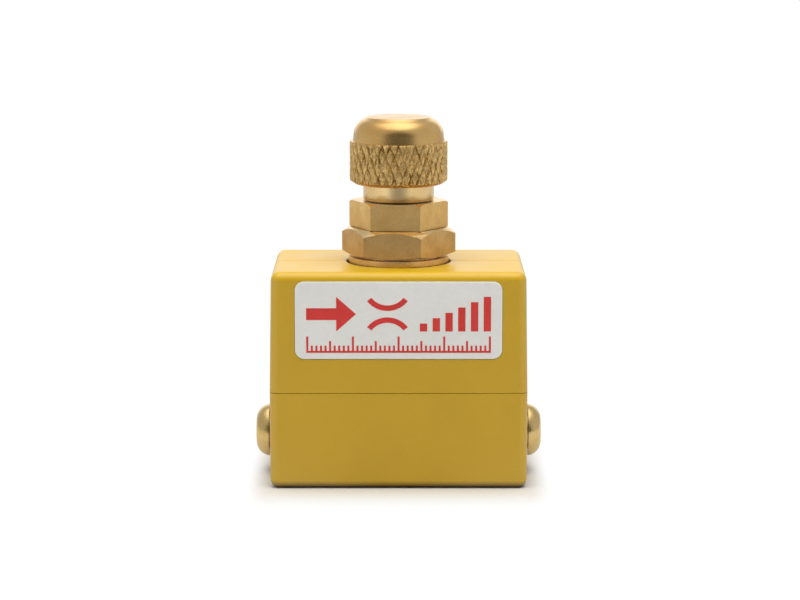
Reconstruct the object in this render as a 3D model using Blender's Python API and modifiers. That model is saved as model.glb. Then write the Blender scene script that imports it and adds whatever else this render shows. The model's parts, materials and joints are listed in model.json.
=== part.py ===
"""Inline flow control valve: a needle valve in a yellow housing, with a knurled brass knob.

Metres, +Z up. The origin is the centre of the base, on the surface that the valve stands on.
The tube ports face -X and +X, the label faces -Y, and the needle's axis is the Z axis.
The pose is the closed one: the needle is in its seat and both release collars are out.
"""

import math

import bmesh
import bpy
from mathutils import Matrix, Vector

ASSEMBLY = "flow_control_valve"

# Clearance left between two pieces that touch or thread into each other.
GAP = 0.0003

# Housing: a block below, and a front and a rear cover that meet on the plane Y = 0.
HOUSING_WIDTH = 0.0562
HOUSING_DEPTH = 0.0360
HOUSING_HEIGHT = 0.0478
SEAM_HEIGHT = 0.0212
COVER_DRAFT = 0.00043
BLOCK_DRAFT = 0.00006
EDGE_RADIUS = 0.0019
WALL = 0.0026
COVER_HOLE_RADIUS = 0.0116

# Label plate, let into the front cover.
LABEL_WIDTH = 0.0449
LABEL_HEIGHT = 0.0170
LABEL_CORNER = 0.0020
LABEL_THICKNESS = 0.0004
LABEL_CENTRE_HEIGHT = 0.03736
LABEL_SINK = 0.00005
LABEL_MARGIN = 0.00015

# Hexes: across the flats, and how far each is turned from square to the front.
BONNET_HEX = 0.0220
BONNET_HEX_TURN = math.radians(-7.3)
NUT_HEX = 0.0190
NUT_HEX_TURN = math.radians(-4.4)

# Heights of the brass stack.
COLLAR_TOP = 0.04957
BONNET_HEX_TOP = 0.0555
NUT_BOTTOM = 0.0557
NUT_TOP = 0.0614
KNOB_BOTTOM = 0.0617
KNURL_BOTTOM = 0.0651
KNURL_TOP = 0.0745
KNOB_TOP = 0.0798

# Knob.
HUB_RADIUS = 0.0078
KNURL_RADIUS = 0.0108
KNURL_DEPTH = 0.00035
KNURL_COUNT = 36
KNURL_ROWS = 3
KNURL_CHAMFER = 0.0008
KNURL_FOOT_RADIUS = 0.0096
DOME_FLAT_RADIUS = 0.0070
DOME_FOOT_RADIUS = 0.0101
DOME_ARC_RADIUS = 0.00377
DOME_ARC_CENTRE = (0.00615, 0.07587)
DOME_ARC_START = math.radians(4.0)
DOME_ARC_END = math.radians(66.0)

# Stem, needle and seat.
STEM_RADIUS = 0.0030
STEM_THREAD_RADIUS = 0.0040
STEM_TOP = 0.0749
BUTTON_RADIUS = 0.0019
BUTTON_NECK_RADIUS = 0.0014
BUTTON_BOTTOM = 0.0183
BUTTON_TOP = 0.0199
ORIFICE_RADIUS = 0.0015
SEAT_CONE_SLOPE = 0.5707
SEAT_BOTTOM = 0.0079
SEAT_TOP = 0.0106
NEEDLE_TIP_HEIGHT = 0.00815
NEEDLE_TIP_RADIUS = 0.0006
NEEDLE_NOSE_RADIUS = 0.0027
NEEDLE_TOP = 0.0210

# Bonnet, bored for the stem and for the packing.
COLLAR_RADIUS = 0.0111
BONNET_THREAD_RADIUS = 0.0077
BONNET_FOOT = 0.02135
BONNET_END = 0.0135
NOSE_RADIUS = 0.0070
NOSE_TOP = 0.0594
STUFFING_RADIUS = 0.0051
STUFFING_FLOOR = 0.0515
PACKING_HEIGHT = 0.0016
PACKING_COUNT = 3

# Tube ports: distances are measured outward from the needle's axis.
PORT_HEIGHT = 0.0094
TUBE_RADIUS = 0.0030
PORT_BORE_RADIUS = 0.0057
PORT_BORE_FLOOR = 0.0172
TUBE_STOP = 0.0133
COLLAR_FACE = 0.03175
COLLAR_FLANGE_BACK = 0.0289
COLLAR_FLANGE_RADIUS = 0.0058
COLLAR_DOME_RADIUS = 0.0032
COLLAR_DOME_CENTRE = (0.0026, 0.0286)
COLLAR_TAIL_RADIUS = 0.00415
COLLAR_BARB_RADIUS = 0.00465
COLLAR_TAIL_END = 0.0223
PORT_RING_RADIUS = 0.0054
PASSAGE_RADIUS = 0.0013

# Housing screws, up through the block into inserts in the covers.
SCREW_X = 0.0232
SCREW_Y = 0.0133
SCREW_RADIUS = 0.0015
SCREW_HEAD_RADIUS = 0.0026
SCREW_HEAD_BOTTOM = 0.0004
SCREW_HEAD_TOP = 0.0031
SCREW_END = 0.0280
INSERT_RADIUS = 0.0024
INSERT_TOP = 0.0286
BOSS_RADIUS = 0.0040

# Set screw in the back of the knob's hub.
SET_SCREW_HEIGHT = 0.0636
SET_SCREW_RADIUS = 0.0010

# Flat steps round a turned piece.
FINE = 40
MEDIUM = 28
COARSE = 20
SMALL = 12

# Colour (linear), roughness and metallic value of each finish.
FINISHES = {
    "housing_paint": ((0.52, 0.29, 0.020), 0.42, 0.0),
    "machined_brass": ((0.62, 0.42, 0.16), 0.30, 1.0),
    "knurled_brass": ((0.58, 0.38, 0.13), 0.32, 1.0),
    "stainless_steel": ((0.60, 0.60, 0.61), 0.28, 1.0),
    "zinc_steel": ((0.55, 0.56, 0.58), 0.35, 1.0),
    "label_film": ((0.62, 0.61, 0.60), 0.35, 0.0),
    "packing_polymer": ((0.80, 0.80, 0.77), 0.50, 0.0),
    "spacer_plastic": ((0.25, 0.25, 0.26), 0.50, 0.0),
    "seal_rubber": ((0.02, 0.02, 0.02), 0.60, 0.0),
}


# --------------------------------------------------------------------------------------
# Scene, materials and placing
# --------------------------------------------------------------------------------------


def clear_scene():
    for old in list(bpy.data.objects):
        bpy.data.objects.remove(old, do_unlink=True)


def new_collection(name):
    collection = bpy.data.collections.new(name)
    bpy.context.scene.collection.children.link(collection)
    return collection


def make_material(name):
    colour, roughness, metallic = FINISHES[name]
    material = bpy.data.materials.new(name)
    material.use_nodes = True
    shader = material.node_tree.nodes["Principled BSDF"]
    shader.inputs["Base Color"].default_value = (*colour, 1.0)
    shader.inputs["Roughness"].default_value = roughness
    shader.inputs["Metallic"].default_value = metallic
    material.diffuse_color = (*colour, 1.0)
    return material


def move_to(obj, collection):
    for holder in list(obj.users_collection):
        holder.objects.unlink(obj)
    collection.objects.link(obj)


def as_part(obj, name, finish, parent):
    """Names an object, gives it a finish, and hangs it on an empty."""
    obj.name = name
    obj.data.name = name
    obj.data.materials.clear()
    obj.data.materials.append(MATERIALS[finish])
    obj.parent = parent
    move_to(obj, PARTS)
    return obj


def as_cutter(obj, name, parent=None):
    """Turns an object into a tool that the build leaves out."""
    obj.name = name
    obj.hide_render = True
    obj.display_type = "WIRE"
    obj.parent = parent
    move_to(obj, CUTTERS)
    return obj


def add_empty(name, location, rotation=(0, 0, 0), parent=None):
    """An empty on the axis of a moving piece, or at the head of a group."""
    empty = bpy.data.objects.new(name, None)
    empty.location = location
    empty.rotation_euler = rotation
    empty.parent = parent
    empty.empty_display_size = 0.005
    PARTS.objects.link(empty)
    return empty


def boolean(obj, tool, operation="DIFFERENCE"):
    modifier = obj.modifiers.new(f"{operation.title()} {tool.name}", "BOOLEAN")
    modifier.operation = operation
    modifier.solver = "EXACT"
    modifier.object = tool


# --------------------------------------------------------------------------------------
# Shapes
# --------------------------------------------------------------------------------------


def turned(profile, steps, closed=False):
    """A profile of (radius, height) points, spun about Z. It runs down its outer side."""
    mesh = bpy.data.meshes.new("profile")
    points = [(radius, 0.0, height) for radius, height in profile]
    edges = [(i, i + 1) for i in range(len(points) - 1)]
    if closed:
        edges.append((len(points) - 1, 0))
    mesh.from_pydata(points, edges, [])
    obj = bpy.data.objects.new("turned", mesh)
    bpy.context.scene.collection.objects.link(obj)
    spin = obj.modifiers.new("Spin", "SCREW")
    spin.steps = steps
    spin.render_steps = steps
    spin.use_merge_vertices = True
    spin.merge_threshold = 0.000001
    return obj


def arc(centre, radius, start, end, steps):
    """Points of an arc in the (radius, height) plane. Angles run up from the radius axis."""
    angles = [start + (end - start) * i / steps for i in range(steps + 1)]
    return [
        (centre[0] + radius * math.cos(angle), centre[1] + radius * math.sin(angle))
        for angle in angles
    ]


def washer(inner, outer, bottom, top, steps):
    """A plain ring with a square section."""
    return turned([(inner, top), (outer, top), (outer, bottom), (inner, bottom)], steps, closed=True)


def o_ring(middle_radius, section_radius, height):
    bpy.ops.mesh.primitive_torus_add(
        major_segments=COARSE,
        minor_segments=6,
        major_radius=middle_radius,
        minor_radius=section_radius,
        location=(0, 0, height),
    )
    ring = bpy.context.object
    ring.data.shade_smooth()
    return ring


def cylinder(radius, start, end, steps=COARSE):
    """A cylinder between two points."""
    start = Vector(start)
    along = Vector(end) - start
    bpy.ops.mesh.primitive_cylinder_add(vertices=steps, radius=radius, depth=along.length)
    obj = bpy.context.object
    obj.rotation_euler = along.to_track_quat("Z", "Y").to_euler()
    obj.location = start + along / 2
    return obj


def block(low, high):
    """A box between two corners, with its shape in its mesh and not in its scale."""
    low = Vector(low)
    high = Vector(high)
    mesh = bpy.data.meshes.new("block")
    shape = bmesh.new()
    bmesh.ops.create_cube(shape, size=1.0)
    placed = Matrix.Translation((low + high) / 2) @ Matrix.Diagonal((*(high - low), 1))
    bmesh.ops.transform(shape, matrix=placed, verts=shape.verts)
    shape.to_mesh(mesh)
    shape.free()
    obj = bpy.data.objects.new("block", mesh)
    bpy.context.scene.collection.objects.link(obj)
    return obj


def taper_sides(obj, height, inset):
    """Draws in the two X faces of a box by inset at one height."""
    for vertex in obj.data.vertices:
        if math.isclose(vertex.co.z, height, abs_tol=1e-6):
            vertex.co.x -= math.copysign(inset, vertex.co.x)


def round_edges(obj, chosen, radius, segments):
    """Rounds the edges whose two ends satisfy chosen."""
    shape = bmesh.new()
    shape.from_mesh(obj.data)
    edges = [edge for edge in shape.edges if chosen(edge.verts[0].co, edge.verts[1].co)]
    bmesh.ops.bevel(
        shape, geom=edges, offset=radius, segments=segments, profile=0.5, affect="EDGES"
    )
    shape.to_mesh(obj.data)
    shape.free()


def plate(width, height, y_front, y_back, centre_height, corner):
    """A flat plate that faces -Y, with rounded corners."""
    low = (-width / 2, y_front, centre_height - height / 2)
    high = (width / 2, y_back, centre_height + height / 2)
    obj = block(low, high)
    round_edges(obj, lambda a, b: abs(a.y - b.y) > (y_back - y_front) / 2, corner, 5)
    return obj


def hex_trimmer(across_flats, bottom, top, turn):
    """A thick six-sided sleeve that trims a turned blank to a hexagon with flats on +Y and -Y."""
    bpy.ops.mesh.primitive_cylinder_add(
        vertices=6,
        radius=across_flats / 2 / math.cos(math.pi / 6),
        depth=top - bottom,
        end_fill_type="NOTHING",
        location=(0, 0, (bottom + top) / 2),
        rotation=(0, 0, math.pi / 6 + turn),
    )
    sleeve = bpy.context.object
    wall = sleeve.modifiers.new("Wall", "SOLIDIFY")
    wall.thickness = 0.006
    wall.offset = 1.0
    wall.use_even_offset = True
    return sleeve


def smooth_round(obj, angle=35):
    obj.data.shade_smooth()
    obj.data.set_sharp_from_angle(angle=math.radians(angle))


# --------------------------------------------------------------------------------------
# Housing
# --------------------------------------------------------------------------------------


def make_valve_body(parent):
    """The block that holds the seat, the flow passages and both tube ports."""
    half = Vector((HOUSING_WIDTH / 2, HOUSING_DEPTH / 2))
    top = SEAM_HEIGHT - GAP / 2
    body = block((-half.x, -half.y, 0), (half.x, half.y, top))
    taper_sides(body, 0.0, BLOCK_DRAFT)
    round_edges(body, lambda a, b: min(a.z, b.z) < top / 2, EDGE_RADIUS, 3)
    as_part(body, "valve_body", "housing_paint", parent)

    over = top + 0.001
    pocket_radius = 0.0043
    chamber_radius = 0.0046
    sump_radius = 0.0018
    sump_floor = 0.0030
    seal_recess_radius = 0.0104
    seal_recess_floor = 0.0195
    thread_floor = BONNET_END - GAP
    chamber_floor = SEAT_TOP + GAP
    well = turned(
        [
            (0, over),
            (seal_recess_radius, over),
            (seal_recess_radius, seal_recess_floor),
            (BONNET_THREAD_RADIUS + GAP, seal_recess_floor),
            (BONNET_THREAD_RADIUS + GAP, thread_floor),
            (chamber_radius, thread_floor),
            (chamber_radius, chamber_floor),
            (pocket_radius, chamber_floor),
            (pocket_radius, SEAT_BOTTOM - GAP),
            (sump_radius, SEAT_BOTTOM - GAP),
            (sump_radius, sump_floor),
            (0, sump_floor),
        ],
        MEDIUM,
    )
    boolean(body, as_cutter(well, "needle_well"))

    # The left passage runs down to below the seat, the right one up to above it.
    passages = {"left": (-1, 0.0079, 0.0044), "right": (1, 0.0106, 0.0121)}
    outside = HOUSING_WIDTH / 2 + 0.002
    tube_bore = TUBE_RADIUS + 0.0002
    for side, (sign, outer_height, inner_height) in passages.items():
        bore = turned(
            [
                (0, outside),
                (PORT_BORE_RADIUS, outside),
                (PORT_BORE_RADIUS, PORT_BORE_FLOOR),
                (tube_bore, PORT_BORE_FLOOR),
                (tube_bore, TUBE_STOP),
                (0, TUBE_STOP),
            ],
            MEDIUM,
        )
        bore.location = (0, 0, PORT_HEIGHT)
        bore.rotation_euler = (0, sign * math.pi / 2, 0)
        boolean(body, as_cutter(bore, f"{side}_port_bore"))
        outer_end = (sign * (TUBE_STOP + 0.0008), 0, outer_height)
        passage = cylinder(PASSAGE_RADIUS, (0, 0, inner_height), outer_end, SMALL)
        boolean(body, as_cutter(passage, f"{side}_passage"))

    head_clearance = 0.0029
    shank_clearance = 0.0018
    for name, x, y in screw_places():
        hole = turned(
            [
                (0, over),
                (shank_clearance, over),
                (shank_clearance, SCREW_HEAD_TOP + GAP),
                (head_clearance, SCREW_HEAD_TOP + GAP),
                (head_clearance, -0.001),
                (0, -0.001),
            ],
            SMALL,
        )
        hole.location = (x, y, 0)
        boolean(body, as_cutter(hole, f"screw_hole_{name}"))


def make_cover(name, side, parent):
    """Half of the upper housing. side is -1 for the front half and 1 for the rear one."""
    half_width = HOUSING_WIDTH / 2
    outer = side * HOUSING_DEPTH / 2
    seam = side * GAP / 2
    bottom = SEAM_HEIGHT + GAP / 2
    low_y, high_y = sorted((outer, seam))
    cover = block((-half_width, low_y, bottom), (half_width, high_y, HOUSING_HEIGHT))
    taper_sides(cover, HOUSING_HEIGHT, COVER_DRAFT)

    def on_outside(a, b):
        on_seam = abs(a.y) < GAP and abs(b.y) < GAP
        on_bottom = a.z < bottom + GAP and b.z < bottom + GAP
        return not on_seam and not on_bottom

    round_edges(cover, on_outside, EDGE_RADIUS, 3)
    as_part(cover, name, "housing_paint", parent)

    # The hollow leaves a full-height boss in each outer corner.
    inner_low, inner_high = sorted((outer - side * WALL, -side * 0.001))
    hollow = block(
        (-half_width + WALL, inner_low, bottom - 0.001),
        (half_width - WALL, inner_high, HOUSING_HEIGHT - WALL),
    )
    as_cutter(hollow, f"{name}_hollow")
    for end in (-1, 1):
        boss = cylinder(
            BOSS_RADIUS,
            (end * SCREW_X, side * SCREW_Y, bottom - 0.002),
            (end * SCREW_X, side * SCREW_Y, HOUSING_HEIGHT - 0.001),
        )
        boolean(hollow, as_cutter(boss, f"{name}_boss_{end}"))
    boolean(cover, hollow)
    for end in (-1, 1):
        pocket = cylinder(
            INSERT_RADIUS + 0.0002,
            (end * SCREW_X, side * SCREW_Y, bottom - 0.001),
            (end * SCREW_X, side * SCREW_Y, INSERT_TOP + 0.001),
            SMALL,
        )
        boolean(cover, as_cutter(pocket, f"{name}_pocket_{end}"))
    hole = cylinder(
        COVER_HOLE_RADIUS, (0, 0, HOUSING_HEIGHT - 2 * WALL), (0, 0, HOUSING_HEIGHT + 0.001), FINE
    )
    boolean(cover, as_cutter(hole, f"{name}_hole"))
    return cover


def make_label(front_cover, parent):
    face = -HOUSING_DEPTH / 2
    front = face + LABEL_SINK
    back = front + LABEL_THICKNESS
    label = plate(LABEL_WIDTH, LABEL_HEIGHT, front, back, LABEL_CENTRE_HEIGHT, LABEL_CORNER)
    as_part(label, "label_plate", "label_film", parent)
    recess = plate(
        LABEL_WIDTH + 2 * LABEL_MARGIN,
        LABEL_HEIGHT + 2 * LABEL_MARGIN,
        face - 0.001,
        back + LABEL_MARGIN,
        LABEL_CENTRE_HEIGHT,
        LABEL_CORNER + LABEL_MARGIN,
    )
    boolean(front_cover, as_cutter(recess, "label_recess"))


def screw_places():
    """Name, X and Y of each housing screw."""
    for depth_name, y in (("front", -SCREW_Y), ("rear", SCREW_Y)):
        for side_name, x in (("left", -SCREW_X), ("right", SCREW_X)):
            yield f"{depth_name}_{side_name}", x, y


def make_housing_screws(parent):
    chamfer = 0.0003
    for name, x, y in screw_places():
        screw = turned(
            [
                (0, SCREW_END),
                (SCREW_RADIUS - chamfer, SCREW_END),
                (SCREW_RADIUS, SCREW_END - chamfer),
                (SCREW_RADIUS, SCREW_HEAD_TOP),
                (SCREW_HEAD_RADIUS, SCREW_HEAD_TOP),
                (SCREW_HEAD_RADIUS, SCREW_HEAD_BOTTOM + chamfer),
                (SCREW_HEAD_RADIUS - chamfer, SCREW_HEAD_BOTTOM),
                (0, SCREW_HEAD_BOTTOM),
            ],
            SMALL,
        )
        screw.location = (x, y, 0)
        as_part(screw, f"housing_screw_{name}", "zinc_steel", parent)
        socket_radius = 0.00145
        socket_floor = SCREW_HEAD_BOTTOM + 0.0015
        socket = cylinder(socket_radius, (x, y, -0.001), (x, y, socket_floor), 6)
        boolean(screw, as_cutter(socket, f"screw_socket_{name}"))

        bottom = SEAM_HEIGHT + 2 * GAP
        inner = SCREW_RADIUS + 0.0002
        groove = INSERT_RADIUS - 0.0003
        middle = (bottom + INSERT_TOP) / 2
        half_groove = 0.0005
        insert = turned(
            [
                (inner, INSERT_TOP),
                (INSERT_RADIUS, INSERT_TOP),
                (INSERT_RADIUS, middle + half_groove),
                (groove, middle + half_groove),
                (groove, middle - half_groove),
                (INSERT_RADIUS, middle - half_groove),
                (INSERT_RADIUS, bottom),
                (inner, bottom),
            ],
            SMALL,
            closed=True,
        )
        insert.location = (x, y, 0)
        as_part(insert, f"threaded_insert_{name}", "machined_brass", parent)


# --------------------------------------------------------------------------------------
# Bonnet, packing and seat
# --------------------------------------------------------------------------------------


def make_bonnet(parent):
    """Hex, collar and barrel in one piece. Its flange lies under the covers' top wall."""
    corner = BONNET_HEX / 2 / math.cos(math.pi / 6)
    flange_radius = 0.0132
    flange_top = HOUSING_HEIGHT - WALL - 0.00015
    flange_bottom = flange_top - 0.0020
    barrel_radius = 0.0095
    foot_radius = 0.0115
    foot_top = BONNET_FOOT + 0.0030
    guide_radius = STEM_THREAD_RADIUS + GAP
    guide_top = 0.0443
    chamfer = 0.0004
    top_chamfer_radius = 0.0109
    top_chamfer = 0.0010
    bottom_chamfer = 0.00047
    bonnet = turned(
        [
            (STUFFING_RADIUS, NOSE_TOP),
            (NOSE_RADIUS - chamfer, NOSE_TOP),
            (NOSE_RADIUS, NOSE_TOP - chamfer),
            (NOSE_RADIUS, BONNET_HEX_TOP),
            (top_chamfer_radius, BONNET_HEX_TOP),
            (corner, BONNET_HEX_TOP - top_chamfer),
            (corner, COLLAR_TOP + bottom_chamfer),
            (COLLAR_RADIUS, COLLAR_TOP),
            (COLLAR_RADIUS, flange_top),
            (flange_radius, flange_top),
            (flange_radius, flange_bottom),
            (barrel_radius, flange_bottom),
            (barrel_radius, foot_top),
            (foot_radius, foot_top),
            (foot_radius, BONNET_FOOT),
            (BONNET_THREAD_RADIUS, BONNET_FOOT),
            (BONNET_THREAD_RADIUS, BONNET_END + chamfer),
            (BONNET_THREAD_RADIUS - chamfer, BONNET_END),
            (guide_radius, BONNET_END),
            (guide_radius, guide_top),
            (STEM_RADIUS + GAP, guide_top),
            (STEM_RADIUS + GAP, STUFFING_FLOOR),
            (STUFFING_RADIUS, STUFFING_FLOOR),
        ],
        FINE,
        closed=True,
    )
    as_part(bonnet, "bonnet", "machined_brass", parent)
    trimmer = hex_trimmer(BONNET_HEX, COLLAR_TOP - 0.00002, BONNET_HEX_TOP + 0.001, BONNET_HEX_TURN)
    boolean(bonnet, as_cutter(trimmer, "bonnet_hex_trimmer"))

    seal_middle = 0.0092
    seal_section = 0.00075
    seal_height = BONNET_FOOT - GAP / 2 - seal_section
    as_part(o_ring(seal_middle, seal_section, seal_height), "bonnet_o_ring", "seal_rubber", parent)


def make_packing(parent):
    inner = STEM_RADIUS + GAP
    outer = STUFFING_RADIUS - GAP
    bottom = STUFFING_FLOOR + GAP
    for number in range(1, PACKING_COUNT + 1):
        ring = washer(inner, outer, bottom, bottom + PACKING_HEIGHT, COARSE)
        as_part(ring, f"packing_ring_{number}", "packing_polymer", parent)
        bottom += PACKING_HEIGHT + GAP
    follower = washer(inner, outer, bottom, NOSE_TOP + 0.0001, COARSE)
    as_part(follower, "packing_follower", "machined_brass", parent)

    corner = NUT_HEX / 2 / math.cos(math.pi / 6)
    chamfer_radius = 0.0100
    chamfer = 0.00056
    stem_hole = STEM_RADIUS + 0.0005
    web_bottom = NOSE_TOP + GAP
    nut = turned(
        [
            (stem_hole, NUT_TOP),
            (chamfer_radius, NUT_TOP),
            (corner, NUT_TOP - chamfer),
            (corner, NUT_BOTTOM),
            (NOSE_RADIUS + GAP, NUT_BOTTOM),
            (NOSE_RADIUS + GAP, web_bottom),
            (stem_hole, web_bottom),
        ],
        FINE,
        closed=True,
    )
    as_part(nut, "packing_nut", "machined_brass", parent)
    trimmer = hex_trimmer(NUT_HEX, NUT_BOTTOM - 0.001, NUT_TOP + 0.001, NUT_HEX_TURN)
    boolean(nut, as_cutter(trimmer, "packing_nut_trimmer"))


def make_seat(parent):
    """A pressed-in seat with a conical mouth, and the O-ring in its groove."""
    seat_radius = 0.0040
    groove_radius = 0.0032
    groove_bottom = 0.0087
    groove_top = 0.0099
    mouth_bottom = 0.0092
    mouth_radius = ORIFICE_RADIUS + (SEAT_TOP - mouth_bottom) * SEAT_CONE_SLOPE
    seat = turned(
        [
            (mouth_radius, SEAT_TOP),
            (seat_radius, SEAT_TOP),
            (seat_radius, groove_top),
            (groove_radius, groove_top),
            (groove_radius, groove_bottom),
            (seat_radius, groove_bottom),
            (seat_radius, SEAT_BOTTOM),
            (ORIFICE_RADIUS, SEAT_BOTTOM),
            (ORIFICE_RADIUS, mouth_bottom),
        ],
        COARSE,
        closed=True,
    )
    as_part(seat, "seat_insert", "stainless_steel", parent)
    seal_section = 0.00042
    seal_middle = groove_radius + seal_section + 0.0001
    seal = o_ring(seal_middle, seal_section, (groove_bottom + groove_top) / 2)
    as_part(seal, "seat_o_ring", "seal_rubber", parent)


# --------------------------------------------------------------------------------------
# Needle, stem and knob
# --------------------------------------------------------------------------------------


def make_needle(parent):
    """The needle hangs on the stem's button, so it rises with the stem and doesn't turn."""
    nose_height = NEEDLE_TIP_HEIGHT + (NEEDLE_NOSE_RADIUS - NEEDLE_TIP_RADIUS) / SEAT_CONE_SLOPE
    socket_radius = BUTTON_RADIUS + GAP
    socket_floor = BUTTON_BOTTOM - GAP
    lip_bottom = BUTTON_TOP + GAP
    lip_radius = BUTTON_NECK_RADIUS + GAP
    chamfer = 0.0003
    groove_radius = 0.00295
    groove_bottom = 0.0156
    groove_top = 0.0170
    guide_bottom = 0.0138
    needle = turned(
        [
            (0, socket_floor),
            (socket_radius, socket_floor),
            (socket_radius, lip_bottom),
            (lip_radius, lip_bottom),
            (lip_radius, NEEDLE_TOP),
            (STEM_THREAD_RADIUS - chamfer, NEEDLE_TOP),
            (STEM_THREAD_RADIUS, NEEDLE_TOP - chamfer),
            (STEM_THREAD_RADIUS, groove_top),
            (groove_radius, groove_top),
            (groove_radius, groove_bottom),
            (STEM_THREAD_RADIUS, groove_bottom),
            (STEM_THREAD_RADIUS, guide_bottom + chamfer),
            (STEM_THREAD_RADIUS - chamfer, guide_bottom),
            (NEEDLE_NOSE_RADIUS, guide_bottom),
            (NEEDLE_NOSE_RADIUS, nose_height),
            (NEEDLE_TIP_RADIUS, NEEDLE_TIP_HEIGHT),
            (0, NEEDLE_TIP_HEIGHT),
        ],
        COARSE,
    )
    as_part(needle, "needle_tip", "stainless_steel", parent)
    seal_section = 0.0005
    seal_middle = groove_radius + seal_section + 0.00015
    seal = o_ring(seal_middle, seal_section, (groove_bottom + groove_top) / 2)
    as_part(seal, "needle_o_ring", "seal_rubber", parent)


def make_stem(parent):
    """Smooth where it runs through the packing, thicker where it is threaded in the bonnet."""
    chamfer = 0.0003
    thread_top = 0.0400
    thread_bottom = 0.0270
    relief_radius = 0.0034
    stem = turned(
        [
            (0, STEM_TOP),
            (STEM_RADIUS - chamfer, STEM_TOP),
            (STEM_RADIUS, STEM_TOP - chamfer),
            (STEM_RADIUS, thread_top + chamfer),
            (STEM_THREAD_RADIUS - chamfer, thread_top),
            (STEM_THREAD_RADIUS, thread_top - chamfer),
            (STEM_THREAD_RADIUS, thread_bottom + 2 * chamfer),
            (relief_radius, thread_bottom),
            (relief_radius, NEEDLE_TOP + GAP),
            (BUTTON_NECK_RADIUS, NEEDLE_TOP + GAP),
            (BUTTON_NECK_RADIUS, BUTTON_TOP),
            (BUTTON_RADIUS, BUTTON_TOP),
            (BUTTON_RADIUS, BUTTON_BOTTOM),
            (0, BUTTON_BOTTOM),
        ],
        COARSE,
    )
    as_part(stem, "stem", "stainless_steel", parent)


def knob_profile():
    """The knob's outline and bore, and the heights of its knurled rows."""
    dome = arc(DOME_ARC_CENTRE, DOME_ARC_RADIUS, DOME_ARC_END, DOME_ARC_START, 4)
    first = KNURL_TOP - 0.0002
    last = KNURL_BOTTOM + KNURL_CHAMFER
    rows = [first + (last - first) * row / KNURL_ROWS for row in range(KNURL_ROWS + 1)]
    bore_radius = STEM_RADIUS + 0.00025
    bore_top = STEM_TOP + GAP
    points = [(0.0, KNOB_TOP), (DOME_FLAT_RADIUS, KNOB_TOP)]
    points += dome
    points += [(DOME_FOOT_RADIUS, KNURL_TOP), (KNURL_RADIUS - KNURL_DEPTH, KNURL_TOP)]
    points += [(KNURL_RADIUS, height) for height in rows]
    points += [(KNURL_FOOT_RADIUS, KNURL_BOTTOM)]
    points += [(HUB_RADIUS, KNURL_BOTTOM), (HUB_RADIUS, KNOB_BOTTOM)]
    points += [(bore_radius, KNOB_BOTTOM), (bore_radius, bore_top), (0.0, bore_top)]
    return points, rows


def make_knob(parent):
    """A turned knob whose band carries crossed knurling: two columns for each diamond."""
    points, rows = knob_profile()
    columns = 2 * KNURL_COUNT
    shape = bmesh.new()
    profile = [shape.verts.new((radius, 0.0, height)) for radius, height in points]
    edges = [shape.edges.new(pair) for pair in zip(profile, profile[1:])]
    bmesh.ops.spin(
        shape,
        geom=profile + edges,
        cent=(0, 0, 0),
        axis=(0, 0, 1),
        dvec=(0, 0, 0),
        angle=math.tau,
        steps=columns,
        use_merge=True,
    )
    bmesh.ops.remove_doubles(shape, verts=shape.verts, dist=0.000001)

    # Alternate points of the band's lattice drop to the bottom of the grooves.
    low_points = set()
    for vertex in shape.verts:
        radius = math.hypot(vertex.co.x, vertex.co.y)
        row = min(range(len(rows)), key=lambda i: abs(rows[i] - vertex.co.z))
        if radius < KNURL_RADIUS - 1e-6 or abs(rows[row] - vertex.co.z) > 1e-6:
            continue
        column = round(math.atan2(vertex.co.y, vertex.co.x) / math.tau * columns)
        if (row + column) % 2:
            vertex.co.x *= 1 - KNURL_DEPTH / KNURL_RADIUS
            vertex.co.y *= 1 - KNURL_DEPTH / KNURL_RADIUS
            low_points.add(vertex)
    for face in list(shape.faces):
        low = [vertex for vertex in face.verts if vertex in low_points]
        if len(face.verts) == 4 and len(low) == 2:
            bmesh.utils.face_split(face, low[0], low[1])
    bmesh.ops.recalc_face_normals(shape, faces=shape.faces)

    mesh = bpy.data.meshes.new("knob")
    shape.to_mesh(mesh)
    shape.free()
    knob = bpy.data.objects.new("knob", mesh)
    bpy.context.scene.collection.objects.link(knob)
    smooth_round(knob, 20)
    as_part(knob, "adjusting_knob", "knurled_brass", parent)

    hole = cylinder(
        SET_SCREW_RADIUS + 0.0002,
        (0, STEM_RADIUS - 0.001, SET_SCREW_HEIGHT),
        (0, HUB_RADIUS + 0.001, SET_SCREW_HEIGHT),
        SMALL,
    )
    boolean(knob, as_cutter(hole, "set_screw_hole"))

    inner_end = (0, STEM_RADIUS + GAP, SET_SCREW_HEIGHT)
    outer_end = (0, HUB_RADIUS - 0.0004, SET_SCREW_HEIGHT)
    screw = cylinder(SET_SCREW_RADIUS, inner_end, outer_end, SMALL)
    as_part(screw, "knob_set_screw", "stainless_steel", parent)
    socket_floor = (0, HUB_RADIUS - 0.0016, SET_SCREW_HEIGHT)
    socket = cylinder(0.0005, socket_floor, (0, HUB_RADIUS, SET_SCREW_HEIGHT), 6)
    boolean(screw, as_cutter(socket, "set_screw_socket"))


# --------------------------------------------------------------------------------------
# Tube ports
# --------------------------------------------------------------------------------------


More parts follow.
